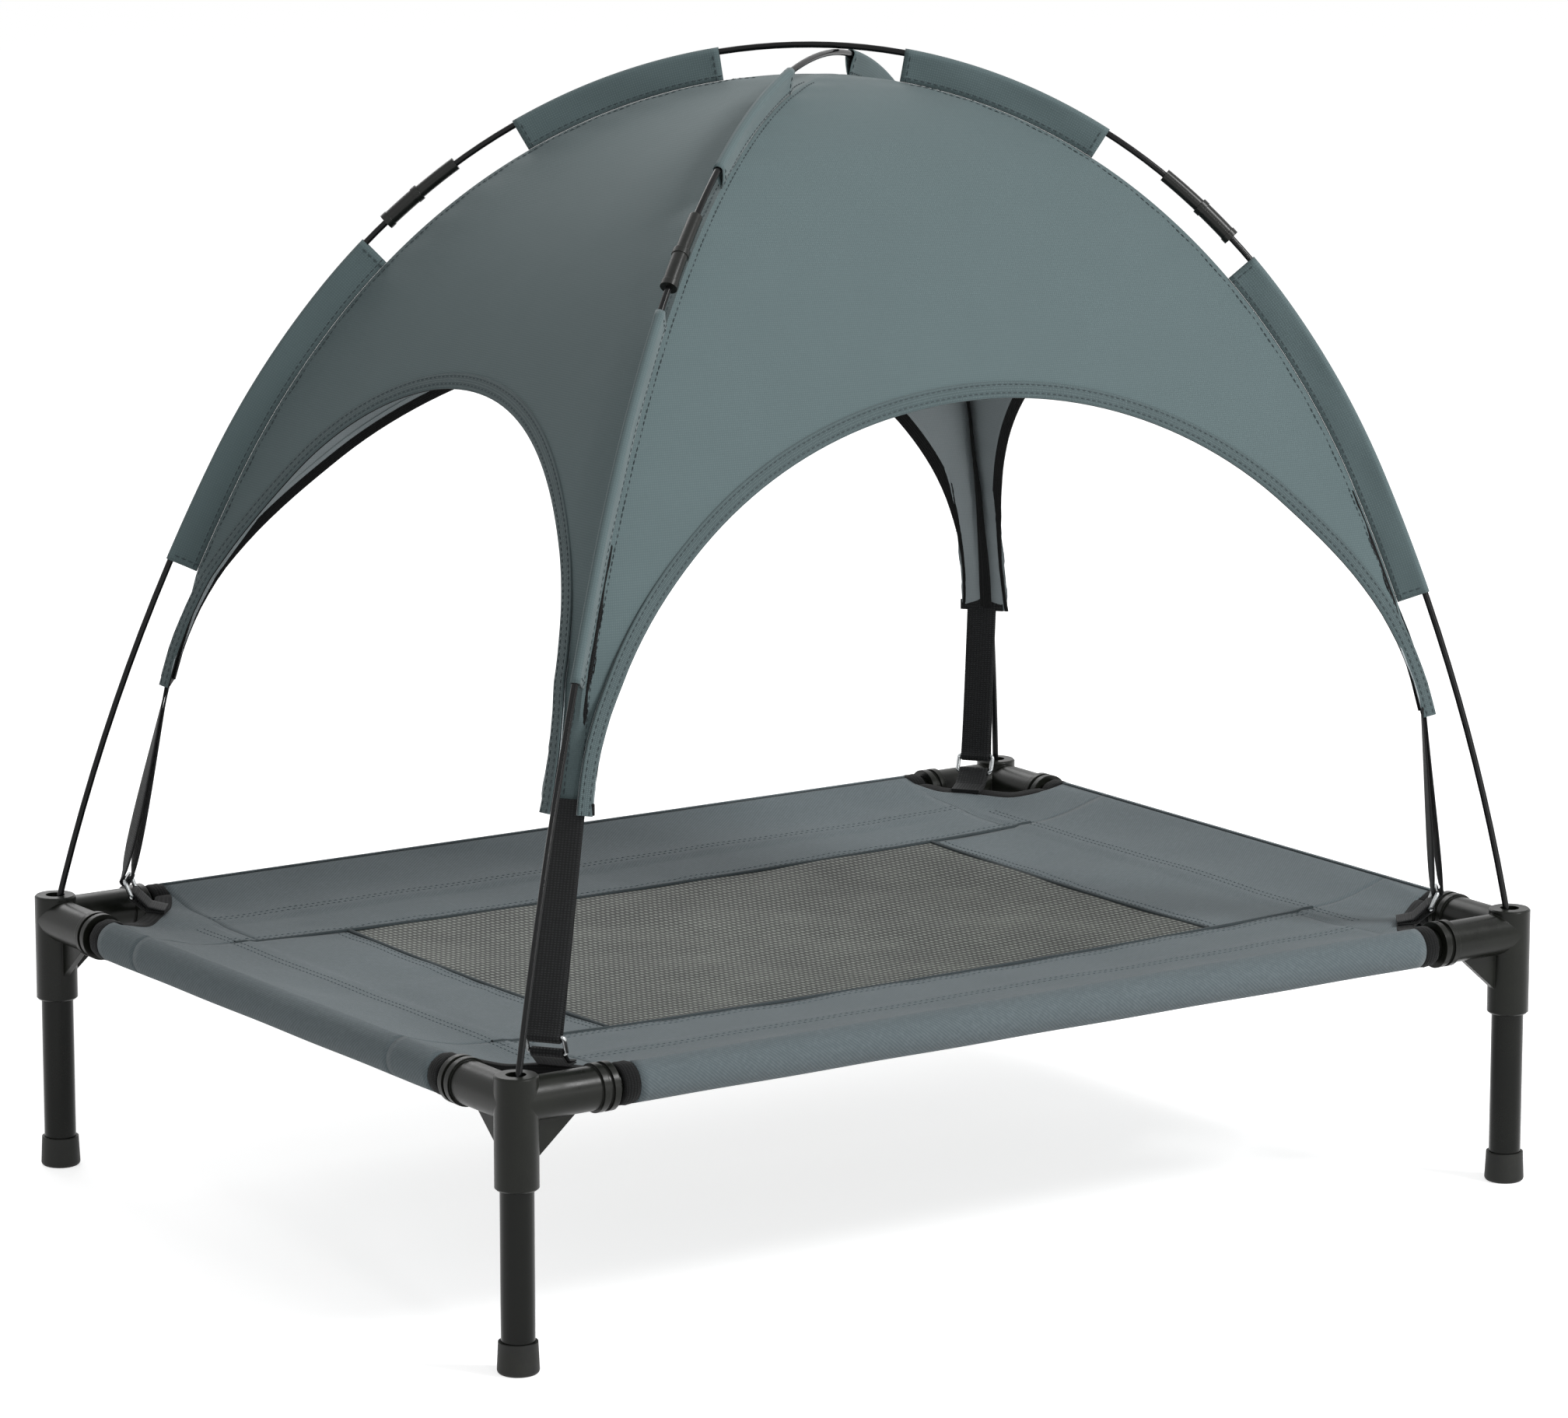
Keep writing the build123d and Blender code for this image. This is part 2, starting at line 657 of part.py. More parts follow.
def ridge_at_height(hoop, side, z):
    """Point of a ridge line at a height."""
    near, far = hoop.crossing, side * LOWER_SLEEVE_END
    for _ in range(50):
        middle = (near + far) / 2
        if hoop.world(hoop.place(middle, hoop.ridge)).Z > z:
            near = middle
        else:
            far = middle
    return hoop.world(hoop.place(near, hoop.ridge))


def arch_block(panel, grow):
    """Cutting block of a panel's arch opening, grown outwards by a margin."""
    first, second, plane, axis, arch_rise = PANELS[panel]
    sides = [HOOP_AT[first], HOOP_AT[second]]
    tips = [hoop.world(ridge_tip(hoop, side, 0)) for hoop, side in sides]
    foot_z = min(tip.Z for tip in tips)
    crown_z = foot_z + arch_rise
    crown_spots = [ridge_at_height(hoop, side, crown_z) for hoop, side in sides]
    crown = sum(spot.dot(axis.direction) for spot in crown_spots) / 2
    left = tips[0].dot(axis.direction) + TIP_WIDTH - grow
    right = tips[1].dot(axis.direction) - TIP_WIDTH + grow
    rise = arch_rise + grow
    below = foot_z - TIP_DROP
    outline = [
        EllipticalCenterArc((crown, foot_z), crown - left, rise, 90, arc_size=90),
        EllipticalCenterArc((crown, foot_z), right - crown, rise, 0, arc_size=90),
        Polyline((left, foot_z), (left, below), (right, below), (right, foot_z)),
    ]
    edges = [edge for curve in outline for edge in curve.edges()]
    return extrude(plane * make_face(edges), LEG_SPACING_X, both=True)


def canopy_panel(panel):
    """Cloth panel between two ridges, open below in an arch."""
    first, second = PANELS[panel][:2]
    return panel_sheet(first, second, 0, PANEL) - arch_block(panel, ARCH_TAPE_WIDTH)


def arch_tape(panel):
    """Folded tape that closes the edge of an arch."""
    first, second = PANELS[panel][:2]
    sheet = panel_sheet(first, second, -ARCH_TAPE_EXTRA, PANEL + ARCH_TAPE_EXTRA)
    return sheet & (arch_block(panel, ARCH_TAPE_WIDTH) - arch_block(panel, 0))


def seam_tapes():
    """Bound seam allowances that stand inside the canopy under each ridge."""
    start = PANEL + SEAM_TAPE_SEAT
    tapes = []
    for hoop, side in HOOP_AT.values():
        face = ridge_strip(hoop, side, start, start + SEAM_TAPE_DEPTH)
        tapes.append(hoop.plane * extrude(face, SEAM_TAPE_THICKNESS / 2, both=True))
    return tapes


# Straps and rings

def ring_bars(x_side, y_side):
    """Centres of a ring's lower and upper bar."""
    plane = corner_plane(x_side, y_side)
    tilt = math.radians(RING_TILT)
    low = Vector(HALF_DIAGONAL - RING_INSET, CONNECTOR_TOP + RING_FOOT_RISE)
    high = low + Vector(math.cos(tilt), math.sin(tilt)) * (RING_HEIGHT - WIRE_DIAMETER)
    return plane, low, high


def strap_ring(x_side, y_side):
    """Closed wire ring between the tab and the strap."""
    plane, low, high = ring_bars(x_side, y_side)
    centre = plane.from_local_coords((low + high) * 0.5)
    upright = plane.from_local_coords(high) - plane.from_local_coords(low)
    inside = STRAP_WIDTH + 2 * RING_SIDE_PLAY
    ring_plane = Plane(origin=centre, x_dir=plane.z_dir, z_dir=plane.z_dir.cross(upright))
    outline = RectangleRounded(inside + WIRE_DIAMETER, RING_HEIGHT - WIRE_DIAMETER, RING_BEND)
    path = (ring_plane * outline).wire()
    return sweep(Plane(origin=path @ 0, z_dir=path % 0) * Circle(WIRE_RADIUS), path=path)


def webbing_loop(plane, bar):
    """Webbing turned round one bar of a ring."""
    section = Pos(bar.X, bar.Y) * (Circle(LOOP_RADIUS) - Circle(LOOP_BORE))
    return plane * extrude(section, STRAP_WIDTH / 2, both=True)


def ring_tab(x_side, y_side):
    """Short webbing tab on the corner binding that holds a ring."""
    plane, low, _ = ring_bars(x_side, y_side)
    grade = CORNER_RISE / CORNER_RUN
    top = SLING_TOP + CORNER_RISE + (BINDING_THICKNESS - CLOTH) / 2
    edge = Vector(HALF_DIAGONAL - CUTOUT_DEPTH, top + WEBBING + TAB_SEAT)
    tail = edge - Vector(TAB_TAIL, TAB_TAIL * grade)
    neck = low + (edge - low).normalized() * (LOOP_BORE + WEBBING / 2)
    strip = trace(Polyline(tail, edge, neck), line_width=2 * WEBBING)
    return plane * extrude(strip, STRAP_WIDTH / 2, both=True) + webbing_loop(plane, low)


def strap(x_side, y_side, corner):
    """Doubled elastic webbing from the canopy's tip to the loop round the ring's upper bar."""
    plane, _, high = ring_bars(x_side, y_side)
    hoop, side = HOOP_AT[corner]
    tip = hoop.world(ridge_tip(hoop, side, PANEL / 2)) - Vector(0, 0, STRAP_END_GAP)
    neck = plane.from_local_coords(high + Vector(0, LOOP_BORE + WEBBING / 2))
    ends = [Plane(origin=spot, x_dir=plane.x_dir, z_dir=(0, 0, 1)) for spot in (neck, tip)]
    web = loft([end * Rectangle(2 * WEBBING, STRAP_WIDTH) for end in ends], ruled=True)
    return web + webbing_loop(plane, high)


# All pieces

def frame_pieces():
    """Connectors, rails, legs and feet."""
    made = rails()
    for corner, sides in CORNERS.items():
        made[f"corner_connector_{corner}"] = corner_connector(*sides)
        made[f"leg_tube_{corner}"] = leg_tube(*sides)
        made[f"foot_cap_{corner}"] = foot_cap(*sides)
    return made


def sling_pieces():
    """Strips, mesh, piping and corner bindings."""
    made = {
        "sling_strip_front": long_strip(-1),
        "sling_strip_rear": long_strip(1),
        "sling_strip_left": end_strip(-1),
        "sling_strip_right": end_strip(1),
        "sling_mesh": cloth_plate(-MESH_EDGE_X, MESH_EDGE_X, -MESH_EDGE_Y, MESH_EDGE_Y),
        "seam_piping": seam_piping(),
    }
    for corner, sides in CORNERS.items():
        made[f"corner_binding_{corner}"] = corner_binding(*sides)
    made["ring_tabs"] = [ring_tab(*sides) for sides in CORNERS.values()]
    made["strap_rings"] = [strap_ring(*sides) for sides in CORNERS.values()]
    return made


def canopy_pieces():
    """Hoops, ferrules, sleeves, panels, tapes and straps."""
    made = pole_lengths()
    for corner, (hoop, side) in HOOP_AT.items():
        made[f"ferrule_{corner}"] = ferrule(hoop, side)
        upper = pole_sleeve(hoop, side, UPPER_SLEEVE_START, UPPER_SLEEVE_LENGTH)
        lower = pole_sleeve(hoop, side, LOWER_SLEEVE_START, LOWER_SLEEVE_LENGTH)
        made[f"pole_sleeve_upper_{corner}"] = upper
        made[f"pole_sleeve_lower_{corner}"] = lower
        made[f"strap_{corner}"] = strap(*CORNERS[corner], corner)
    for panel in PANELS:
        made[f"canopy_panel_{panel}"] = canopy_panel(panel)
        made[f"arch_tape_{panel}"] = arch_tape(panel)
    made["seam_tapes"] = seam_tapes()
    return made


def solids_of(made):
    """The solids of a piece, or of a group of like pieces."""
    group = made if isinstance(made, list) else [made]
    return [solid for piece in group for solid in piece.solids()]


def main():
    os.makedirs("parts", exist_ok=True)
    pieces = {**frame_pieces(), **sling_pieces(), **canopy_pieces()}
    for name, made in pieces.items():
        solids = solids_of(made)
        export_step(solids[0] if len(solids) == 1 else Compound(solids), f"parts/{name}.step")
    print(len(pieces), "pieces, under hoop rise", round(UNDER.rise, 2))


if __name__ == "__main__":
    main()
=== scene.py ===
"""Looks of a raised pet bed with a lift-off dome canopy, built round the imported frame.

Lengths are millimetres until a mesh is made. Meshes are in metres, in the frame of the CAD model:
X along the bed, Y to the rear, Z up.
"""
import logging
import math
from dataclasses import dataclass, field
from enum import Enum
from typing import Any, Sequence

import bmesh
import bpy
import numpy as np
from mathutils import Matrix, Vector

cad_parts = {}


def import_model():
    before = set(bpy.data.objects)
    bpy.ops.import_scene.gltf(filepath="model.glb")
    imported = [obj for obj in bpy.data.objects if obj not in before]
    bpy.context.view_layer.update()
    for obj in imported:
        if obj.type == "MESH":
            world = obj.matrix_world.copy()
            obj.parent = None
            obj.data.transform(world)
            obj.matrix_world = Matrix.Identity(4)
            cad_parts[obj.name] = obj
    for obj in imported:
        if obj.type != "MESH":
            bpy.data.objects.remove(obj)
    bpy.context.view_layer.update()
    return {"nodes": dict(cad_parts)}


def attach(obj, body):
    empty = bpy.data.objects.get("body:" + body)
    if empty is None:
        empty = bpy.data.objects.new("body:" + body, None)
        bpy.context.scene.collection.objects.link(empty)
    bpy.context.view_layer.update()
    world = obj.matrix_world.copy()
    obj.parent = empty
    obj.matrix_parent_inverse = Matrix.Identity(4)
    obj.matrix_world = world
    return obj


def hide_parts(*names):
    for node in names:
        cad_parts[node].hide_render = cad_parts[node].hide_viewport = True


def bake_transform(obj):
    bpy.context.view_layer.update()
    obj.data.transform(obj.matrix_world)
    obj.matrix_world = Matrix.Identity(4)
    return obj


LOG = logging.getLogger("pet_bed")
Array = np.ndarray

MM = 0.001
HALF_X = 367.0
HALF_Y = 273.0
HALF_DIAGONAL = math.hypot(HALF_X, HALF_Y)
CORNERS = {
    "front_left": (-1, -1),
    "front_right": (1, -1),
    "rear_left": (-1, 1),
    "rear_right": (1, 1),
}
UP = np.array([0.0, 0.0, 1.0])
# Places along a ridge: the hoops' crossing is 0, the foot of the lower sleeve 6 and the canopy's tip 7.
SLEEVE_FOOT = 6.0
TIP = 7.0
# Millimetres of ridge in one such step, for the weave.
RIDGE_STEP = 91.0
# A noise texture seldom leaves this span.
NOISE_LOW, NOISE_HIGH = 0.3, 0.7
# Sockets of a Mix node that mixes two colours.
MIX_SHARE, MIX_FIRST, MIX_SECOND, MIX_RESULT = 0, 6, 7, 2


def linear(colour: str) -> tuple[float, float, float, float]:
    """Linear colour of an sRGB hex value.

    Args:
        colour: six hex digits, with or without a leading hash.
    Returns:
        Red, green, blue and an alpha of one.
    """
    digits = colour.lstrip("#")
    parts = [int(digits[at : at + 2], 16) / 255 for at in (0, 2, 4)]
    made = [p / 12.92 if p <= 0.04045 else ((p + 0.055) / 1.055) ** 2.4 for p in parts]
    return (*made, 1.0)


def set_inputs(tree: bpy.types.NodeTree, node: bpy.types.Node, inputs: dict[Any, Any]) -> None:
    """Give inputs of a shader node a value or a link.

    Args:
        tree: the node's tree.
        node: the node.
        inputs: a value or a linked socket for each named or numbered input.
    """
    for name, value in inputs.items():
        if isinstance(value, bpy.types.NodeSocket):
            tree.links.new(value, node.inputs[name])
        else:
            node.inputs[name].default_value = value


def add_node(
    tree: bpy.types.NodeTree, kind: str, inputs: dict[Any, Any] | None = None, **settings: Any
) -> bpy.types.Node:
    """Add one shader node.

    Args:
        tree: the node tree that gets the node.
        kind: Blender's name of the node type.
        inputs: a value or a linked socket for each named or numbered input.
        settings: the node's own properties.
    Returns:
        The new node.
    """
    node = tree.nodes.new(kind)
    for name, value in settings.items():
        setattr(node, name, value)
    set_inputs(tree, node, inputs or {})
    return node


def new_material(name: str) -> tuple[bpy.types.Material, bpy.types.Node]:
    """Start a material.

    Args:
        name: what it is made of and how.
    Returns:
        The material and its surface shader.
    """
    material = bpy.data.materials.new(name)
    material.use_nodes = True
    return material, material.node_tree.nodes["Principled BSDF"]


def show(name: str, data: bpy.types.ID) -> bpy.types.Object:
    """Put a mesh, lamp or camera into the scene.

    Args:
        name: the object's name.
        data: the mesh, lamp or camera.
    Returns:
        The new object.
    """
    shown = bpy.data.objects.new(name, data)
    bpy.context.scene.collection.objects.link(shown)
    return shown


def wave_scale(pitch: float) -> float:
    """Scale at which a wave texture repeats once in a pitch given in millimetres."""
    return math.pi / (10 * pitch * MM)


def unit(vectors: Array) -> Array:
    """Vectors brought to length one along their last axis."""
    return vectors / np.maximum(np.linalg.norm(vectors, axis=-1, keepdims=True), 1e-9)


def run_along(line: Array) -> Array:
    """Distance of each point of a line from its start."""
    steps = np.linalg.norm(np.diff(line, axis=0), axis=1)
    return np.concatenate([[0.0], np.cumsum(steps)])


def resampled(line: Array, count: int) -> Array:
    """Points at even distances along a line.

    Args:
        line: the line's points, one row each.
        count: how many points are wanted.
    Returns:
        The new points, one row each.
    """
    run = run_along(line)
    wanted = np.linspace(0, run[-1], count)
    return np.stack([np.interp(wanted, run, line[:, i]) for i in range(line.shape[1])], axis=1)


def cut_places(across: Array, along: Array) -> Array:
    """Places on a flat cut for a grid of points, from the place of each column and of each row."""
    return np.stack(np.broadcast_arrays(across[None], along[:, None]), axis=-1)


def corner_outward(corner: str) -> Array:
    """Level direction, of length one, from the bed's middle to a named corner."""
    x_side, y_side = CORNERS[corner]
    return np.array([x_side * HALF_X, y_side * HALF_Y, 0.0]) / HALF_DIAGONAL


class Weave(Enum):
    """Lie of a cloth's two sets of threads: turn in degrees, then the second's pitch in the first's."""

    PLAIN = (0.0, 1.0)
    TWILL = (52.0, 0.45)
    NET = (0.0, 1.6)
    RIB = (0.0, 0.7)


@dataclass(frozen=True)
class Cloth:
    """Woven cloth with two thread tones, soft creases and a dull sheen; lengths in millimetres."""

    name: str
    light: str
    dark: str
    weave: Weave
    pitch: float
    roughness: float = 0.82
    sheen: float = 0.2
    sheen_roughness: float = 0.5
    relief: float = 0.25
    relief_strength: float = 0.7
    crease: float = 1.2
    crease_size: float = 45.0
    crease_strength: float = 0.6
    mottle: float = 0.09
    fleck: float = 0.12
    fleck_size: float = 3.0
    gap_duller: float = 0.08
    thread_shinier: float = 0.06
    specular: float = 0.35

    def material(self) -> bpy.types.Material:
        """Make the material, whose weave follows the cut's own length and width.

        Returns:
            The material.
        """
        material, shader = new_material(self.name)
        tree = material.node_tree
        turn, second = self.weave.value
        cut = add_node(tree, "ShaderNodeUVMap", uv_map="cut").outputs["UV"]
        place = add_node(tree, "ShaderNodeTexCoord").outputs["Object"]
        turned = {"Vector": cut, "Rotation": (0, 0, math.radians(turn))}
        laid = add_node(tree, "ShaderNodeMapping", turned).outputs["Vector"]
        sets = {}
        for index, (direction, pitch) in enumerate((("X", self.pitch), ("Y", self.pitch * second))):
            wave = {"Vector": laid, "Scale": wave_scale(pitch), "Distortion": 0.5, "Detail": 1.0}
            sets[index] = add_node(tree, "ShaderNodeTexWave", wave, bands_direction=direction).outputs["Fac"]
        pattern = add_node(tree, "ShaderNodeMath", sets, operation="MULTIPLY").outputs[0]
        tone, clouds = pattern, []
        for where, size, detail, strength in (
            (place, self.crease_size, 3.0, self.mottle),
            (cut, self.fleck_size, 2.0, self.fleck),
        ):
            noise = {"Vector": where, "Scale": 1 / (size * MM), "Detail": detail}
            clouds.append(add_node(tree, "ShaderNodeTexNoise", noise).outputs["Fac"])
            span = {"From Min": NOISE_LOW, "From Max": NOISE_HIGH, "To Min": -strength, "To Max": strength}
            shade = add_node(tree, "ShaderNodeMapRange", {"Value": clouds[-1], **span}).outputs["Result"]
            tone = add_node(tree, "ShaderNodeMath", {0: tone, 1: shade}, operation="ADD").outputs[0]
        tones = {MIX_SHARE: tone, MIX_FIRST: linear(self.dark), MIX_SECOND: linear(self.light)}
        raised = {"Height": pattern, "Distance": self.relief * MM, "Strength": self.relief_strength}
        threads = add_node(tree, "ShaderNodeBump", raised).outputs["Normal"]
        folds = {"Height": clouds[0], "Distance": self.crease * MM, "Strength": self.crease_strength}
        dullest = min(1.0, self.roughness + self.gap_duller)
        gloss = {"Value": pattern, "To Min": dullest, "To Max": self.roughness - self.thread_shinier}
        looks = {
            "Base Color": add_node(tree, "ShaderNodeMix", tones, data_type="RGBA").outputs[MIX_RESULT],
            "Roughness": add_node(tree, "ShaderNodeMapRange", gloss).outputs["Result"],
            "Normal": add_node(tree, "ShaderNodeBump", {**folds, "Normal": threads}).outputs["Normal"],
            "Sheen Weight": self.sheen,
            "Sheen Roughness": self.sheen_roughness,
            "Specular IOR Level": self.specular,
        }
        set_inputs(tree, shader, looks)
        return material


@dataclass(frozen=True)
class Moulding:
    """Moulded, coated or plated surface with a fine grain and faint marks; lengths in millimetres."""

    name: str
    colour: str
    worn: str
    roughness: float
    grain: float
    depth: float
    metallic: float = 0.0
    mark_size: float = 30.0
    mark_shinier: float = 0.06
    mark_duller: float = 0.1
    worn_span: tuple[float, float] = (0.35, 0.75)
    edge: float = 0.0
    specular: float = 0.3

    def material(self) -> bpy.types.Material:
        """Make the material, with its grain in the model's own space.

        Returns:
            The material.
        """
        material, shader = new_material(self.name)
        tree = material.node_tree
        place = add_node(tree, "ShaderNodeTexCoord").outputs["Object"]
        fine = {"Vector": place, "Scale": 1 / (self.grain * MM), "Detail": 2.0}
        coarse = {"Vector": place, "Scale": 1 / (self.mark_size * MM), "Detail": 6.0, "Roughness": 0.7}
        noises = [add_node(tree, "ShaderNodeTexNoise", noise) for noise in (fine, coarse)]
        grain, marks = (noise.outputs["Fac"] for noise in noises)
        low, high = self.worn_span
        spread = add_node(tree, "ShaderNodeMapRange", {"Value": marks, "From Min": low, "From Max": high})
        tones = {
            MIX_SHARE: spread.outputs["Result"],
            MIX_FIRST: linear(self.colour),
            MIX_SECOND: linear(self.worn),
        }
        gloss = {
            "Value": marks,
            "From Min": NOISE_LOW,
            "From Max": NOISE_HIGH,
            "To Min": self.roughness - self.mark_shinier,
            "To Max": self.roughness + self.mark_duller,
        }
        raised = {"Height": grain, "Distance": self.depth * MM, "Strength": 0.6}
        if self.edge:
            rounded = add_node(tree, "ShaderNodeBevel", {"Radius": self.edge * MM}, samples=6)
            raised["Normal"] = rounded.outputs["Normal"]
        looks = {
            "Base Color": add_node(tree, "ShaderNodeMix", tones, data_type="RGBA").outputs[MIX_RESULT],
            "Roughness": add_node(tree, "ShaderNodeMapRange", gloss).outputs["Result"],
            "Normal": add_node(tree, "ShaderNodeBump", raised).outputs["Normal"],
            "Metallic": self.metallic,
            "Specular IOR Level": self.specular,
        }
        set_inputs(tree, shader, looks)
        return material


class Finishes:
    """Every finish of the bed, made once."""

    def __init__(self) -> None:
        """Make the materials."""
        # Polyester Oxford, piece-dyed: matt slate with a fine even grain. Its 0.5 mm threads would not
        # show in the render, so every weave here is drawn about three times as coarse.
        plain = {"weave": Weave.PLAIN, "pitch": 1.5}
        self.canopy_outside = Cloth(
            "polyester oxford, slate", "#617274", "#58686a", relief=0.1, crease=0.8, fleck=0.06, **plain
        ).material()
        # The same cloth's coated back: lighter, smoother.
        self.canopy_inside = Cloth(
            "polyester oxford, coated back", "#a9b1b4", "#9ca5a8", roughness=0.7, relief=0.05, **plain
        ).material()
        # Heavy polyester twill: faint diagonal ribs and slubs, darker than the canopy.
        twill = {"weave": Weave.TWILL, "pitch": 1.6}
        self.sling_cloth = Cloth(
            "polyester twill, slate", "#6e797d", "#596468", sheen=0.15, relief=0.2, fleck=0.25, **twill
        ).material()
        # The same cloth folded over a cord, given darker tones than it has: a dark line of painted shade
        # along each seam.
        self.sling_piping_painted_shade = Cloth(
            "polyester twill, folded edge", "#444e51", "#333c3f", Weave.RIB, 1.4, sheen=0.1, crease=0.3
        ).material()
        # Vinyl-coated open mesh: bright coated yarn over dark gaps. Its 1.5 mm rows are drawn two to four
        # times as coarse, so that they still show on a bed seen almost edge-on.
        net = {"weave": Weave.NET, "pitch": 3.6}
        self.sling_net = Cloth(
            "vinyl-coated mesh, grey", "#8d928a", "#1b1e1b", roughness=0.6, sheen=0.0, relief=0.6, **net
        ).material()
        # Polypropylene grosgrain: dull black with fine cross ribs.
        ribbed = {"weave": Weave.RIB, "sheen": 0.05, "crease": 0.3}
        grosgrain = {"pitch": 1.4, "relief": 0.3, "specular": 0.2, **ribbed}
        self.black_tape = Cloth(
            "polypropylene grosgrain, black", "#1b1c1d", "#0b0c0c", **grosgrain
        ).material()
        # Polyester binding tape: the canopy's slate, in fine cross ribs.
        self.grey_tape = Cloth(
            "polyester binding, slate", "#5f6f71", "#4c5a5c", Weave.RIB, 1.6, relief=0.3, crease=0.4
        ).material()
        # Rubber-cored elastic webbing: long ribs, a little shine on them.
        elastic = {"pitch": 2.0, "roughness": 0.68, "relief": 0.45, "specular": 0.25, **ribbed}
        self.webbing = Cloth("elastic webbing, black", "#232526", "#0f1011", **elastic).material()
        # Bonded polyester thread: charcoal, dull.
        dull = {"roughness": 0.75, "grain": 0.5, "depth": 0.05}
        self.thread = Moulding("polyester thread, charcoal", "#3c4649", "#4b5558", **dull).material()
        # The same thread dyed nearer the bed's cloth, so its rows are faint.
        self.pale_thread = Moulding("polyester thread, slate", "#4d585b", "#59656a", **dull).material()
        # Injection-moulded polypropylene: brown-black, satin, with a fine spark-eroded grain.
        self.connector = Moulding(
            "moulded polypropylene, black", "#10120e", "#1a1c17", 0.3, 0.9, 0.04, edge=0.7, specular=0.22
        ).material()
        # Powder-coated steel tube: darker than the connectors, glossier, with slight orange peel.
        self.tube = Moulding(
            "powder-coated steel, black", "#0b0d0a", "#131511", 0.22, 2.4, 0.05, mark_size=60.0, specular=0.18
        ).material()
        # Soft vinyl caps: dull, scuffed a little paler.
        self.foot = Moulding(
            "moulded soft vinyl, black", "#131413", "#242521", 0.55, 1.1, 0.06, mark_size=14.0, edge=0.6
        ).material()
        # Pultruded fibreglass: hard, glossy, with faint streaks.
        self.rod = Moulding(
            "pultruded fibreglass, black", "#0c0d0e", "#151617", 0.16, 1.6, 0.03, specular=0.2
        ).material()
        # Moulded nylon: satin black.
        self.ferrule = Moulding(
            "moulded nylon, black", "#0f110f", "#191b18", 0.3, 0.9, 0.04, mark_size=12.0, edge=0.4
        ).material()
        # Zinc-plated wire: bright, slightly hazy.
        self.ring = Moulding(
            "zinc-plated steel wire", "#b9bcbd", "#8f9293", 0.26, 1.2, 0.03, metallic=1.0, mark_size=6.0
        ).material()


class Patchwork:
    """Grids of points that are sewn into one mesh; lengths in millimetres."""

    weld = 0.02
    shortest_edge = 0.001

    def __init__(self) -> None:
        """Start with nothing."""
        self.points: list[Array] = []
        self.cuts: list[Array] = []
        self.faces: list[Array] = []
        self.slots: list[Array] = []
        self.count = 0

    def grid(self, points: Array, cut: Array, slot: int = 0, flip: bool = False) -> None:
        """Add a grid of points as quads.

        Args:
            points: rows by columns by three, in millimetres.
            cut: rows by columns by two, the place on the flat cut, in millimetres.
            slot: which of the piece's finishes the grid has.
            flip: turn the faces over.
        """
        rows, columns = points.shape[:2]
        index = np.arange(rows * columns).reshape(rows, columns) + self.count
        corners = [index[:-1, :-1], index[1:, :-1], index[1:, 1:], index[:-1, 1:]]
        if flip:
            corners.reverse()
        faces = np.stack([c.ravel() for c in corners], axis=1)
        self.points.append(points.reshape(-1, 3))
        self.cuts.append(cut.reshape(-1, 2))
        self.faces.append(faces)
        self.slots.append(np.full(len(faces), slot))
        self.count += rows * columns

    def build(
        self,
        name: str,
        finishes: Sequence[bpy.types.Material],
        thickness: float = 0.0,
        inner_slot: int = 0,
        sharp: float = 50.0,
    ) -> bpy.types.Object:
        """Make the mesh object.

        Args:
            name: the piece's name.
            finishes: its materials, by slot.
            thickness: how far the sheet is thickened inwards, in millimetres.
            inner_slot: how many slots further on the inner side's finish lies.
            sharp: angle in degrees above which an edge is drawn sharp.
        Returns:
            The new object, linked to the scene.
        """
        points, cuts = np.concatenate(self.points), np.concatenate(self.cuts)
        faces, slots = np.concatenate(self.faces), np.concatenate(self.slots)
        mesh = bpy.data.meshes.new(name)
        mesh.from_pydata((points * MM).tolist(), [], faces.tolist())
        layer = mesh.uv_layers.new(name="cut")
        layer.data.foreach_set("uv", (cuts[faces.ravel()] * MM).ravel().astype(np.float32))
        mesh.polygons.foreach_set("material_index", slots.astype(np.int32))
        sewn = bmesh.new()
        sewn.from_mesh(mesh)
        bmesh.ops.remove_doubles(sewn, verts=sewn.verts, dist=self.weld * MM)
        bmesh.ops.dissolve_degenerate(sewn, edges=sewn.edges, dist=self.shortest_edge * MM)
        sewn.to_mesh(mesh)
        sewn.free()
        mesh.polygons.foreach_set("use_smooth", np.ones(len(mesh.polygons), dtype=bool))
        mesh.set_sharp_from_angle(angle=math.radians(sharp))
        for finish in finishes:
            mesh.materials.append(finish)
        piece = show(name, mesh)
        if thickness:
            thick = piece.modifiers.new("cloth thickness", "SOLIDIFY")
            thick.thickness = thickness * MM
            thick.offset = -1.0
            thick.material_offset = inner_slot
        return piece


def settle(piece: bpy.types.Object, body: str, slot: str, *nodes: str) -> None:
    """Let a piece ride on a body in place of CAD nodes.

    Args:
        piece: the piece.
        body: the CAD body it rides on.
        slot: a material slot's name; not used.
        nodes: the CAD nodes it stands for.
    """
    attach(piece, body)
    if nodes:
        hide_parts(*nodes)
    LOG.info("%s rides on %s for %s", piece.name, body, ", ".join(nodes) or "detail")


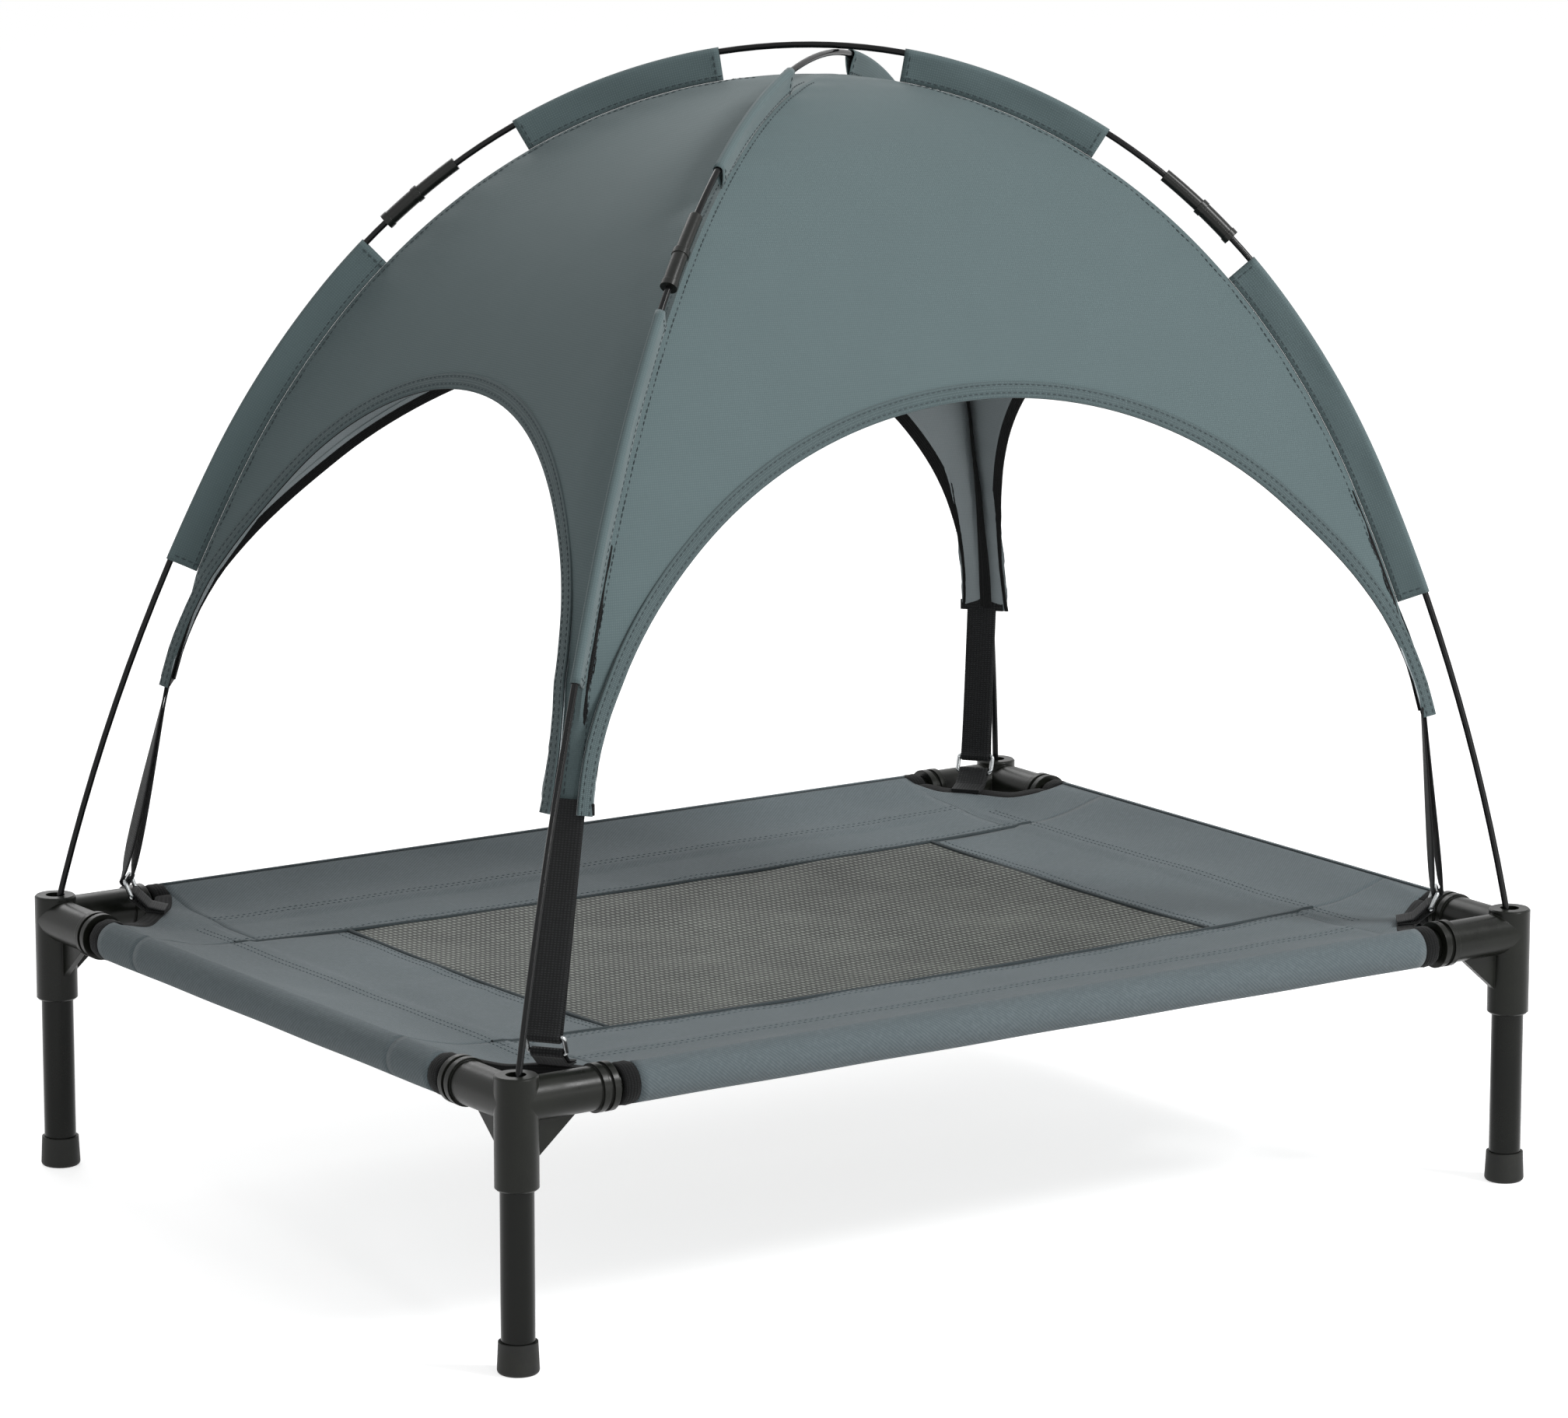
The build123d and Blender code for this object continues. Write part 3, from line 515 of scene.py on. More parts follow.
@dataclass
class Stitching:
    """Rows of thread stitches on cloth, gathered into one mesh."""

    length: float = 3.0
    gap: float = 1.2
    thread: float = 0.75
    # Along the stitch, lift and width of its three rings: both ends dip into the cloth.
    rings: tuple[tuple[float, float, float], ...] = ((0.0, -0.25, 0.6), (0.5, 0.25, 1.0), (1.0, -0.25, 0.6))
    sharp: float = 120.0
    work: Patchwork = field(default_factory=Patchwork)

    def row(self, line: Array, outward: Array) -> None:
        """Sew a row along a line.

        Args:
            line: points on the cloth's surface, one row each.
            outward: the direction out of the cloth at each point.
        """
        run = float(np.linalg.norm(np.diff(line, axis=0), axis=1).sum())
        count = max(1, int(run / (self.length + self.gap)))
        both = resampled(np.concatenate([line, outward], axis=1), 3 * count + 1)
        share = self.length / (self.length + self.gap)
        turn = np.linspace(0, 2 * math.pi, 6)
        for at in range(0, 3 * count, 3):
            start, normal = both[at, :3], unit(both[at, 3:])
            step = (both[at + 3, :3] - start) * share
            side = unit(np.cross(step, normal))
            circle = np.outer(np.cos(turn), side) + np.outer(np.sin(turn), normal)
            rings = []
            for along, lift, width in self.rings:
                centre = start + step * along + normal * lift * self.thread
                rings.append(centre + self.thread / 2 * width * circle)
            points = np.array(rings)
            self.work.grid(points, points[..., :2])

    def build(self, name: str, finish: bpy.types.Material) -> bpy.types.Object:
        """Make all rows one piece."""
        return self.work.build(name, [finish], sharp=self.sharp)


@dataclass
class Frame:
    """Tubes, connectors, feet, rods and rings, which keep their CAD shape."""

    finishes: Finishes

    def dress(self, nodes: dict[str, bpy.types.Object]) -> None:
        """Give each hard CAD node its finish.

        Args:
            nodes: the frame's nodes by name.
        """
        named = {
            "corner_connector": self.finishes.connector,
            "leg_tube": self.finishes.tube,
            "rail": self.finishes.tube,
            "foot_cap": self.finishes.foot,
            "pole_crown": self.finishes.rod,
            "pole_side": self.finishes.rod,
            "ferrule": self.finishes.ferrule,
            "strap_rings": self.finishes.ring,
        }
        for name, node in nodes.items():
            for start, finish in named.items():
                if name.startswith(start):
                    node.data.materials.clear()
                    node.data.materials.append(finish)
                    LOG.info("%s is finished in %s", name, finish.name)


@dataclass
class Sling:
    """Stretched bed of cloth strips round a mesh middle, with sleeves on the rails."""

    finishes: Finishes
    rail_z: float = 160.5
    level: float = 160.0
    cloth: float = 1.0
    sleeve_radius: float = 11.5
    sleeve_step: float = 0.5
    hem: float = 60.0
    hem_drop: float = 2.0
    bow: float = 1.6
    sleeve_start: float = 77.0
    seam_x: float = 225.0
    seam_y: float = 151.0
    sag: float = 7.0
    sag_shape: float = 0.8
    soft: float = 1.1
    soft_sink: float = 0.15
    corner_rise: float = 7.0
    corner_run: float = 50.0
    corner_bow: float = 0.004
    cutout_depth: float = 59.4
    cutout_margin: float = 10.0
    binding: float = 10.0
    cuff: float = 11.0
    near_rail: float = 12.0
    bead_wide: float = 1.5
    bead_high: float = 1.25
    bead_turn: float = 0.35
    hem_rows: tuple[float, float] = (-2.5, 2.5)
    seam_rows: tuple[float, float] = (4.0, 9.0)
    tape_end_rise: float = 7.0
    tape_sink: float = 0.6
    past_hem: float = -1e3

    def slope(self, reach: Array) -> Array:
        """Height of a sleeve's upper cloth, which falls in a hollow line from the rail to the hem.

        Args:
            reach: distances inwards from the rail's middle.
        Returns:
            The heights, far below the bed past the hem.
        """
        radius = self.sleeve_radius
        pitch = math.atan(self.bow * (radius + self.sleeve_step) / self.hem)
        touch = radius * math.sin(pitch)
        round_part = self.rail_z + np.sqrt(np.maximum(radius**2 - reach**2, 0))
        share = np.maximum(self.hem - reach, 0) / (self.hem - touch)
        drawn = self.level + (self.rail_z + radius * math.cos(pitch) - self.level) * share**self.bow
        height = np.where(reach < touch, round_part, drawn)
        return np.where(reach > self.hem + self.near_rail, self.past_hem, height)

    def top(self, x: Array, y: Array) -> Array:
        """Height of the bed's upper cloth.

        Args:
            x: places along the bed.
            y: places across the bed.
        Returns:
            The heights.
        """
        x, y = np.abs(x), np.abs(y)
        inner_x, inner_y = HALF_X - self.hem, HALF_Y - self.hem
        dip = np.clip(1 - (x / inner_x) ** 2, 0, 1) * np.clip(1 - (y / inner_y) ** 2, 0, 1)
        flat = self.level - self.sag * dip**self.sag_shape
        out = (x * HALF_X + y * HALF_Y) / HALF_DIAGONAL
        aside = np.abs(x * HALF_Y - y * HALF_X) / HALF_DIAGONAL
        short = HALF_DIAGONAL - self.cutout_depth - out
        climb = self.corner_rise - short * self.corner_rise / self.corner_run
        corner = self.level + climb - self.corner_bow * aside**2
        layers = np.stack([flat, self.slope(HALF_X - x), self.slope(HALF_Y - y), corner])
        peak = layers.max(axis=0)
        rounding = np.log(np.exp((layers - peak) / self.soft).sum(axis=0))
        return peak + self.soft * rounding - self.soft * self.soft_sink

    def crease(self, x: Array, y: Array) -> Array:
        """Small dents and pulls of the cloth, with puckers beside the seams.

        Args:
            x: places along the bed.
            y: places across the bed.
        Returns:
            How far the cloth is moved up.
        """
        # Waves of odd lengths, in millimetres, so that no two dents look alike.
        ripple = 0.5 * np.sin(x / 17 + 1.3 * np.sin(y / 41)) * np.sin(y / 23 + 0.7 * np.sin(x / 53))
        drawn = 0.0
        for place, seam, along in ((np.abs(y), self.seam_y, x), (np.abs(x), self.seam_x, y)):
            away = np.maximum(place - seam, 0.0)
            wave = 0.6 * np.sin(along / 7 + 2 * np.sin(along / 29))
            drawn = drawn + wave * np.exp(-away / 16) * (1 - np.exp(-away / 4))
        return ripple + drawn + 0.3 * np.sin((x + y) / 37)

    def creased(self, places: Array) -> Array:
        """Points on the creased upper cloth over places along and across the bed, one row each."""
        x, y = places[:, 0], places[:, 1]
        return np.column_stack([places, self.top(x, y) + self.crease(x, y)])

    def patch(self, x: Array, y: Array, work: Patchwork) -> None:
        """Add a patch of upper cloth over a grid of places.

        Args:
            x: places along the bed.
            y: places across the bed.
            work: the cloth that gets the patch.
        """
        from_rail = np.minimum(HALF_X - np.abs(x), HALF_Y - np.abs(y))
        z = self.top(x, y) + self.crease(x, y) * np.clip(from_rail / self.near_rail, 0, 1)
        points = np.stack([x, y, z], axis=-1)
        across = np.cross(points[1, 0] - points[0, 0], points[0, 1] - points[0, 0])
        work.grid(points, points[..., :2], flip=bool(across[2] < 0))

    def reaches(self, width: float, count: int) -> Array:
        """Distances inwards from a rail, closer together on its round."""
        on_rail = np.linspace(0, self.near_rail, 8)[:-1]
        return np.concatenate([on_rail, np.linspace(self.near_rail, width, count)])

    def wrap(self, along: Array, axis: int, side: int, work: Patchwork) -> None:
        """Add the sleeve's cloth from the top of a rail round and back under it to the hem.

        Args:
            along: places along the rail.
            axis: 0 for a rail along the bed, 1 for an end rail.
            side: which side of the bed, -1 or 1.
            work: the strip's cloth.
        """
        pitch = math.asin((self.sleeve_radius + self.sleeve_step) / self.hem)
        turn = np.linspace(math.pi / 2, 1.5 * math.pi + pitch, 30)
        round_part = self.sleeve_radius * np.stack([np.cos(turn), np.sin(turn)], axis=1)
        hem = np.array([self.hem, self.level - self.rail_z - self.hem_drop])
        back = round_part[-1] + np.linspace(0, 1, 9)[1:, None] * (hem - round_part[-1])
        section = np.concatenate([round_part, back])
        a, r = np.meshgrid(along, run_along(section), indexing="ij")
        # The sleeve is a little loose, less so near its ends.
        end = np.minimum(np.abs(along - along[0]), np.abs(along - along[-1]))
        loose = 0.5 * np.sin(a / 19 + r / 7) * np.sin(r / 31) * np.clip(end / 20, 0.3, 1)[:, None]
        give = 1 + loose / 40
        half = HALF_Y if axis == 0 else HALF_X
        across = side * (half - section[None, :, 0] * give)
        z = self.rail_z + section[None, :, 1] * give
        points = np.stack([a, across, z] if axis == 0 else [across, a, z], axis=-1)
        work.grid(points, np.stack([a, half + r], axis=-1), flip=(side > 0) == (axis == 0))

    def cut_line(self, x_side: int, y_side: int, reach: float, depth: float, count: int) -> Array:
        """Bowed edge of a corner cut-out, from the end rail to the long rail.

        Args:
            x_side: -1 or 1.
            y_side: -1 or 1.
            reach: how far from the corner the edge meets each rail.
            depth: how far from the corner the bow's middle lies.
            count: how many points.
        Returns:
            Places along and across the bed, one row each.
        """
        middle, margin = depth / math.sqrt(2), self.cutout_margin
        first, mid, last = (np.array(p) for p in ((margin, reach), (middle, middle), (reach, margin)))
        bow = mid - (first + last) / 2
        t = np.linspace(-1, 1, count)[:, None]
        spots = (first + last) / 2 + (last - first) / 2 * t + bow * (1 - t**2)
        return np.stack([x_side * (HALF_X - spots[:, 0]), y_side * (HALF_Y - spots[:, 1])], axis=1)

    def corner_patch(self, x_side: int, y_side: int, work: Patchwork) -> None:
        """Add the cloth between the end of a long sleeve, an end rail and the corner cut-out.

        Args:
            x_side: -1 or 1.
            y_side: -1 or 1.
            work: the strip's cloth.
        """
        start_x, start_y = x_side * (HALF_X - self.sleeve_start), y_side * (HALF_Y - self.sleeve_start)
        bow = self.cut_line(x_side, y_side, self.sleeve_start, self.cutout_depth + self.binding, 31)
        edge = np.concatenate([[[x_side * HALF_X, start_y]], bow, [[start_x, y_side * HALF_Y]]])
        u = np.linspace(0, 1, len(edge))
        v = np.linspace(0, 1, 25)[:, None, None]
        inner_x = x_side * HALF_X + (start_x - x_side * HALF_X) * u
        inner = np.stack([inner_x, np.full(len(u), y_side * self.seam_y)], axis=1)
        grid = inner[None] * (1 - v) + edge[None] * v
        self.patch(grid[..., 0], grid[..., 1], work)

    def long_strip(self, y_side: int, name: str) -> None:
        """Make the cloth strip along a long rail with its corners and sleeves.

        Args:
            y_side: which side of the bed, -1 or 1.
            name: that side's name.
        """
        work = Patchwork()
        start = HALF_X - self.sleeve_start
        x = np.linspace(-start, start, 98)
        reach = self.reaches(HALF_Y - self.seam_y, 24)
        self.patch(*np.meshgrid(x, y_side * (HALF_Y - reach), indexing="ij"), work)
        self.wrap(x, 0, y_side, work)
        y = y_side * np.linspace(self.seam_y, HALF_Y - self.sleeve_start, 9)
        for x_side in (-1, 1):
            self.corner_patch(x_side, y_side, work)
            self.wrap(np.sort(y), 1, x_side, work)
        strip = work.build(f"bed_strip_{name}", [self.finishes.sling_cloth], self.cloth)
        settle(strip, "bed", "sling_cloth", f"sling_strip_{name}")

    def end_strip(self, x_side: int, name: str) -> None:
        """Make the cloth strip along an end rail between the two long strips.

        Args:
            x_side: which end of the bed, -1 or 1.
            name: that end's name.
        """
        work = Patchwork()
        y = np.linspace(-self.seam_y, self.seam_y, 52)
        reach = self.reaches(HALF_X - self.seam_x, 28)
        self.patch(*np.meshgrid(x_side * (HALF_X - reach), y, indexing="ij"), work)
        self.wrap(y, 1, x_side, work)
        strip = work.build(f"bed_strip_{name}", [self.finishes.sling_cloth], self.cloth)
        settle(strip, "bed", "sling_cloth", f"sling_strip_{name}")

    def net(self) -> None:
        """Make the mesh middle of the bed."""
        work = Patchwork()
        x, y = np.linspace(-self.seam_x, self.seam_x, 76), np.linspace(-self.seam_y, self.seam_y, 52)
        self.patch(*np.meshgrid(x, y, indexing="ij"), work)
        net = work.build("bed_mesh", [self.finishes.sling_net], self.cloth)
        settle(net, "bed", "sling_mesh", "sling_mesh")

    def seam_lines(self) -> list[Array]:
        """Places of the four piped seams.

        Returns:
            Places along and across the bed: the two long seams, then the two short ones.
        """
        run, stop = HALF_X - self.hem, self.seam_y - self.bead_wide
        x, y = np.linspace(-run, run, 90), np.linspace(-stop, stop, 46)
        lines = [np.stack([x, np.full(len(x), s * self.seam_y)], axis=1) for s in (-1, 1)]
        return lines + [np.stack([np.full(len(y), s * self.seam_x), y], axis=1) for s in (-1, 1)]

    def piping(self) -> None:
        """Make the raised beads in the seams."""
        work = Patchwork()
        turn = np.linspace(-self.bead_turn, math.pi + self.bead_turn, 9)
        for line in self.seam_lines():
            points = np.column_stack([line, self.top(line[:, 0], line[:, 1])])
            forward = unit(np.gradient(points, axis=0))
            side = unit(np.cross(forward, UP))
            rise = np.cross(side, forward)
            wide = self.bead_wide * np.cos(turn)[:, None] * side[:, None]
            grid = points[:, None] + wide + self.bead_high * np.sin(turn)[:, None] * rise[:, None]
            run = np.arange(len(line)) * np.linalg.norm(points[1] - points[0])
            work.grid(grid, cut_places(self.bead_wide * turn, run), flip=True)
        # The beads wear the sling's twill darkened, as painted shade of the folds.
        settle(work.build("bed_piping", [self.finishes.sling_piping_painted_shade]), "bed", "black_tape", "seam_piping")

    def stitches(self) -> None:
        """Sew double rows along the hems and beside the seams."""
        sewing = Stitching()
        lines = []
        start_x, start_y = HALF_X - self.sleeve_start, HALF_Y - self.sleeve_start
        x, y = np.linspace(-start_x, start_x, 140), np.linspace(-start_y, start_y, 100)
        for side in (-1, 1):
            for reach in (self.hem + shift for shift in self.hem_rows):
                lines.append(np.column_stack([x, np.full(len(x), side * (HALF_Y - reach))]))
                lines.append(np.column_stack([np.full(len(y), side * (HALF_X - reach)), y]))
        for index, line in enumerate(self.seam_lines()):
            outward = np.array([0.0, 1.0]) if index < 2 else np.array([1.0, 0.0])
            outward = outward * np.sign(line[0] @ outward)
            lines += [line + shift * outward for shift in self.seam_rows]
        for line in lines:
            sewing.row(self.creased(line), np.tile(UP, (len(line), 1)))
        settle(sewing.build("bed_stitches", self.finishes.pale_thread), "bed", "sling_cloth")

    def corner_binding(self, corner: str) -> None:
        """Make the folded tape along a corner cut-out, with a cuff round each rail.

        Args:
            corner: the corner's name.
        """
        x_side, y_side = CORNERS[corner]
        work = Patchwork()
        inner = self.cut_line(x_side, y_side, self.sleeve_start, self.cutout_depth + self.binding, 33)
        outer = self.cut_line(x_side, y_side, self.sleeve_start - self.cuff, self.cutout_depth, 33)
        # Share of the way from the inner line to the outer, and lift: over the edge, a drooping lip, back.
        section = [(-0.1, 0.3), (-0.05, 0.9), (0.3, 1.2), (0.8, 1.2), (0.97, 0.7), (1.05, -1.4), (1.06, -5.0)]
        section += [(0.98, -5.2), (0.93, -2.0), (0.8, -1.3), (0.3, -1.2), (-0.05, -0.9), (-0.1, -0.3)]
        ends = np.abs(np.linspace(-1, 1, len(inner))) ** 6
        rows = []
        for share, lift in section + section[:1]:
            spot = inner + (outer - inner) * share
            z = self.top(*inner.T) * (1 - share) + self.top(*outer.T) * share
            z = z * (1 - ends) + (self.rail_z + self.tape_end_rise) * ends
            rows.append(np.column_stack([spot, z - self.tape_sink + lift]))
        cut = cut_places(np.arange(len(rows)) * 2.2, np.linspace(0, 95, len(inner)))
        work.grid(np.stack(rows, axis=1), cut, flip=x_side * y_side > 0)
        self.cuffs(x_side, y_side, work)
        piece = work.build(f"corner_tape_{corner}", [self.finishes.black_tape])
        settle(piece, "bed", "black_tape", f"corner_binding_{corner}")

    def cuffs(self, x_side: int, y_side: int, work: Patchwork) -> None:
        """Add the bound ends of the two sleeves that meet at a corner.

        Args:
            x_side: -1 or 1.
            y_side: -1 or 1.
            work: the corner's tape.
        """
        turn = np.linspace(0, 2 * math.pi, 49)
        # Place along the rail and radius.
        profile = [(0.0, 10.35), (0.0, 11.5), (0.7, 12.3), (2.5, 12.6), (5.5, 12.75), (8.5, 12.6)]
        profile += [(10.4, 12.2), (11.2, 11.4), (11.2, 10.35), (0.0, 10.35)]
        start = self.sleeve_start - self.cuff
        for axis in (0, 1):
            rows = []
            for along, radius in profile:
                wavy = radius + 0.18 * np.sin(9 * turn + along) * (radius > 11)
                aside, z = wavy * np.cos(turn), self.rail_z + wavy * np.sin(turn)
                x, y = x_side * (HALF_X - start - along), y_side * (HALF_Y - start - along)
                if axis == 0:
                    spot = np.full(len(turn), x), y_side * HALF_Y + aside
                else:
                    spot = x_side * HALF_X + aside, np.full(len(turn), y)
                rows.append(np.stack([*spot, z], axis=1))
            around = cut_places(turn * 12, np.arange(len(rows)) * 2.0)[..., ::-1]
            work.grid(np.array(rows), around, flip=(x_side if axis == 0 else -y_side) > 0)

    def build(self) -> None:
        """Make all the bed's cloth."""
        for name, side in (("front", -1), ("rear", 1)):
            self.long_strip(side, name)
        for name, side in (("left", -1), ("right", 1)):
            self.end_strip(side, name)
        self.net()
        self.piping()
        self.stitches()
        for corner in CORNERS:
            self.corner_binding(corner)


@dataclass
class Hoop:
    """Line of a sprung rod between two opposite corners; lengths run from its crown."""

    y_sign: int
    lean: float
    crown_shift: float
    rise: float
    ridge: float
    crossing: float
    foot_z: float = 163.4
    arc_count: int = 6
    sleeve_end: float = 549.0
    tip_reach: float = 18.0
    tip_drop: float = 70.0

    def __post_init__(self) -> None:
        """Work out the hoop's plane and its arcs."""
        self.along = unit(np.array([HALF_X, self.y_sign * HALF_Y, 0.0]))
        across = np.array([-self.along[1], self.along[0], 0.0])
        lean = math.radians(self.lean)
        self.up = across * math.sin(lean) + np.array([0.0, 0.0, math.cos(lean)])
        self.normal = np.cross(self.along, self.up)
        self.sides = {side: self.bent(HALF_DIAGONAL - side * self.crown_shift) for side in (1, -1)}

    def arcs(self, end: float) -> tuple[list[tuple[float, ...]], float]:
        """Tangent arcs down one side of the hoop.

        Args:
            end: the angle at which they end, in radians.
        Returns:
            Each arc's radius, first and last angle and centre, and how far they reach sideways.
        """
        angles = np.linspace(0, end, self.arc_count + 1)
        heights = self.rise * np.sqrt(np.maximum(0, 1 - (1 - np.cos(angles)) / (1 - math.cos(end))))
        made, x = [], 0.0
        for at in range(self.arc_count):
            first, last = angles[at], angles[at + 1]
            radius = (heights[at] - heights[at + 1]) / (math.cos(first) - math.cos(last))
            centre = (x - radius * math.sin(first), heights[at] - radius * math.cos(first))
            made.append((radius, first, last, *centre))
            x += radius * (math.sin(last) - math.sin(first))
        return made, x

    def bent(self, reach: float) -> list[tuple[float, ...]]:
        """Arcs of a side that drops by the rise over a reach.

        Args:
            reach: how far the side reaches.
        Returns:
            The arcs.
        """
        low, high = math.radians(10), math.radians(170)
        for _ in range(60):
            middle = (low + high) / 2
            low, high = (middle, high) if self.arcs(middle)[1] > reach else (low, middle)
        return self.arcs(low)[0]

    def place(self, length: float, inset: float = 0.0) -> Array:
        """Spot in the hoop's plane.

        Args:
            length: distance along the rod from its crown, negative on the other side.
            inset: how far the spot is moved inwards.
        Returns:
            The spot, sideways and up.
        """
        side, left = (1, length) if length >= 0 else (-1, -length)
        for radius, first, last, x, y in self.sides[side]:
            angle = first + left / radius
            if angle <= last:
                break
            left -= radius * (last - first)
        angle = min(angle, last)
        reach = radius - inset
        sideways = self.crown_shift + side * (x + reach * math.sin(angle))
        return np.array([sideways, y + reach * math.cos(angle)])

    def world(self, spot: Array, aside: float = 0.0) -> Array:
        """Point of the bed's frame for a spot in the hoop's plane, moved out of it to one side."""
        base = np.array([0.0, 0.0, self.foot_z])
        return base + self.along * spot[0] + self.up * spot[1] + self.normal * aside

    def ridge_point(self, side: int, t: float, inset: float = 0.0, aside: float = 0.0) -> Array:
        """Point of the canopy's ridge seam.

        Args:
            side: which side of the hoop, -1 or 1.
            t: place along the ridge, up to TIP.
            inset: how far inside the ridge.
            aside: how far out of the hoop's plane.
        Returns:
            The point.
        """
        last = side * self.sleeve_end
        if t <= SLEEVE_FOOT:
            length = self.crossing + (last - self.crossing) * t / SLEEVE_FOOT
            return self.world(self.place(length, self.ridge + inset), aside)
        foot = self.place(last, self.ridge + inset)
        tip = self.place(last, self.ridge) + np.array([side * (self.tip_reach - inset), -self.tip_drop])
        return self.world(foot + (t - SLEEVE_FOOT) * (tip - foot), aside)


@dataclass
class Panel:
    """One side of the canopy between two ridges, open below in an arch."""

    name: str
    corners: tuple[str, str]
    axis: int
    arch_rise: float
    ridges: dict[str, Array]
    tip_width: float = 23.0
    rows: int = 96
    tip_columns: int = 5
    arch_columns: int = 84
    sag: float = 2.0
    pinch_start: float = 5.2
    pinch_run: float = 1.7
    pinch_depth: float = 0.92

    def ridge(self, which: int, t: Array) -> Array:
        """Points of one of the two ridges.

        Args:
            which: 0 for the first ridge, 1 for the second.
            t: places along it.
        Returns:
            The points.
        """
        table = self.ridges[self.corners[which]]
        at = np.linspace(0, TIP, len(table))
        return np.stack([np.interp(t, at, table[:, i]) for i in range(3)], axis=-1)

    def surface(self, s: Array, t: Array) -> Array:
        """Points on the straight lines from one ridge to the other."""
        first, second = self.ridge(0, t), self.ridge(1, t)
        return first + (second - first) * s[..., None]

    def pinched(self, points: Array, s: Array, t: Array) -> Array:
        """Points drawn flat towards the strap at both tips.

        Args:
            points: points on the panel.
            s: their places from the first ridge to the second.
            t: their places from the crown to the tips.
        Returns:
            The moved points.
        """
        share = np.clip((t - self.pinch_start) / self.pinch_run, 0, 1)
        share = (share * share * (3 - 2 * share))[..., None]
        moved = points
        for which, corner in enumerate(self.corners):
            outward = corner_outward(corner)
            depth = (points - self.ridge(which, t)) @ outward
            shift = outward * depth[..., None] * -self.pinch_depth
            beside = ((s < 0.5) == (which == 0))[..., None]
            moved = moved + shift * share * beside
        return moved

    def arch(self) -> tuple[Array, Array]:
        """Places of the arch's edge on the panel, evenly along it.

        Returns:
            Places from ridge to ridge, and places along the ridges.
        """
        tips = [self.ridge(i, np.array(TIP)) for i in (0, 1)]
        foot = min(tip[2] for tip in tips)
        crown = 0.0
        for which in (0, 1):
            table = self.ridges[self.corners[which]]
            crown += np.interp(-(foot + self.arch_rise), -table[:, 2], table[:, self.axis]) / 2
        left, right = tips[0][self.axis] + self.tip_width, tips[1][self.axis] - self.tip_width
        angle = np.linspace(0, math.pi, 900)
        half = np.where(angle < math.pi / 2, crown - left, right - crown)
        a, z = crown - half * np.cos(angle), foot + self.arch_rise * np.sin(angle)
        low, high = np.zeros(len(a)), np.full(len(a), TIP)
        for _ in range(40):
            t = (low + high) / 2
            first, second = self.ridge(0, t), self.ridge(1, t)
            s = np.clip((a - first[:, self.axis]) / (second[:, self.axis] - first[:, self.axis]), 0, 1)
            above = first[:, 2] + (second[:, 2] - first[:, 2]) * s > z
            low, high = np.where(above, t, low), np.where(above, high, t)
        run = run_along(self.surface(s, t))
        even = np.linspace(0, run[-1], self.arch_columns)
        return np.interp(even, run, s), np.interp(even, run, t)

    def grid(self) -> tuple[Array, Array, Array]:
        """Shape the panel.

        Returns:
            Its points, outward directions and places on its cut.
        """
        arch_s, arch_t = self.arch()
        share = np.linspace(0, 1, self.tip_columns)[:-1]
        s_end = np.concatenate([arch_s[0] * share, arch_s, 1 - (1 - arch_s[-1]) * share[::-1]])
        tip_t = np.full(len(share), TIP)
        t_end = np.concatenate([tip_t, arch_t, tip_t])
        v = np.linspace(0, 1, self.rows)[:, None]
        s_start = np.linspace(0, 1, len(s_end))
        s, t = s_start + (s_end - s_start) * v, t_end * v
        points = self.pinched(self.surface(s, t), s, t)
        near = np.clip(t, 0.2, 6.9)
        down = self.surface(s, near + 0.1) - self.surface(s, near - 0.1)
        outward = unit(np.cross(down, self.ridge(1, near) - self.ridge(0, near)))
        outward *= np.sign(outward[self.rows // 2, len(s_end) // 2, 2])
        width = np.linalg.norm(self.ridge(1, t) - self.ridge(0, t), axis=-1)
        from_ridge = np.minimum(s, 1 - s) * width
        hollow = self.sag * np.sin(math.pi * s) * np.clip(t / 2.5, 0, 1)
        # Puckers beside the ridges, and a slow drift in waves of odd lengths.
        pucker = 0.55 * np.sin(t * 19.0) * np.exp(-from_ridge / 14) * (1 - np.exp(-from_ridge / 3))
        x, y, z = np.moveaxis(points, -1, 0)
        drift = 0.7 * np.sin(x / 61) * np.sin(z / 47) * np.sin(y / 53 + 1)
        move = pucker + drift * np.clip(from_ridge / 40, 0, 1) - hollow
        points = points + outward * move[..., None]
        cut = np.stack([(s - 0.5) * width, t * RIDGE_STEP], axis=-1)
        return points, outward, cut


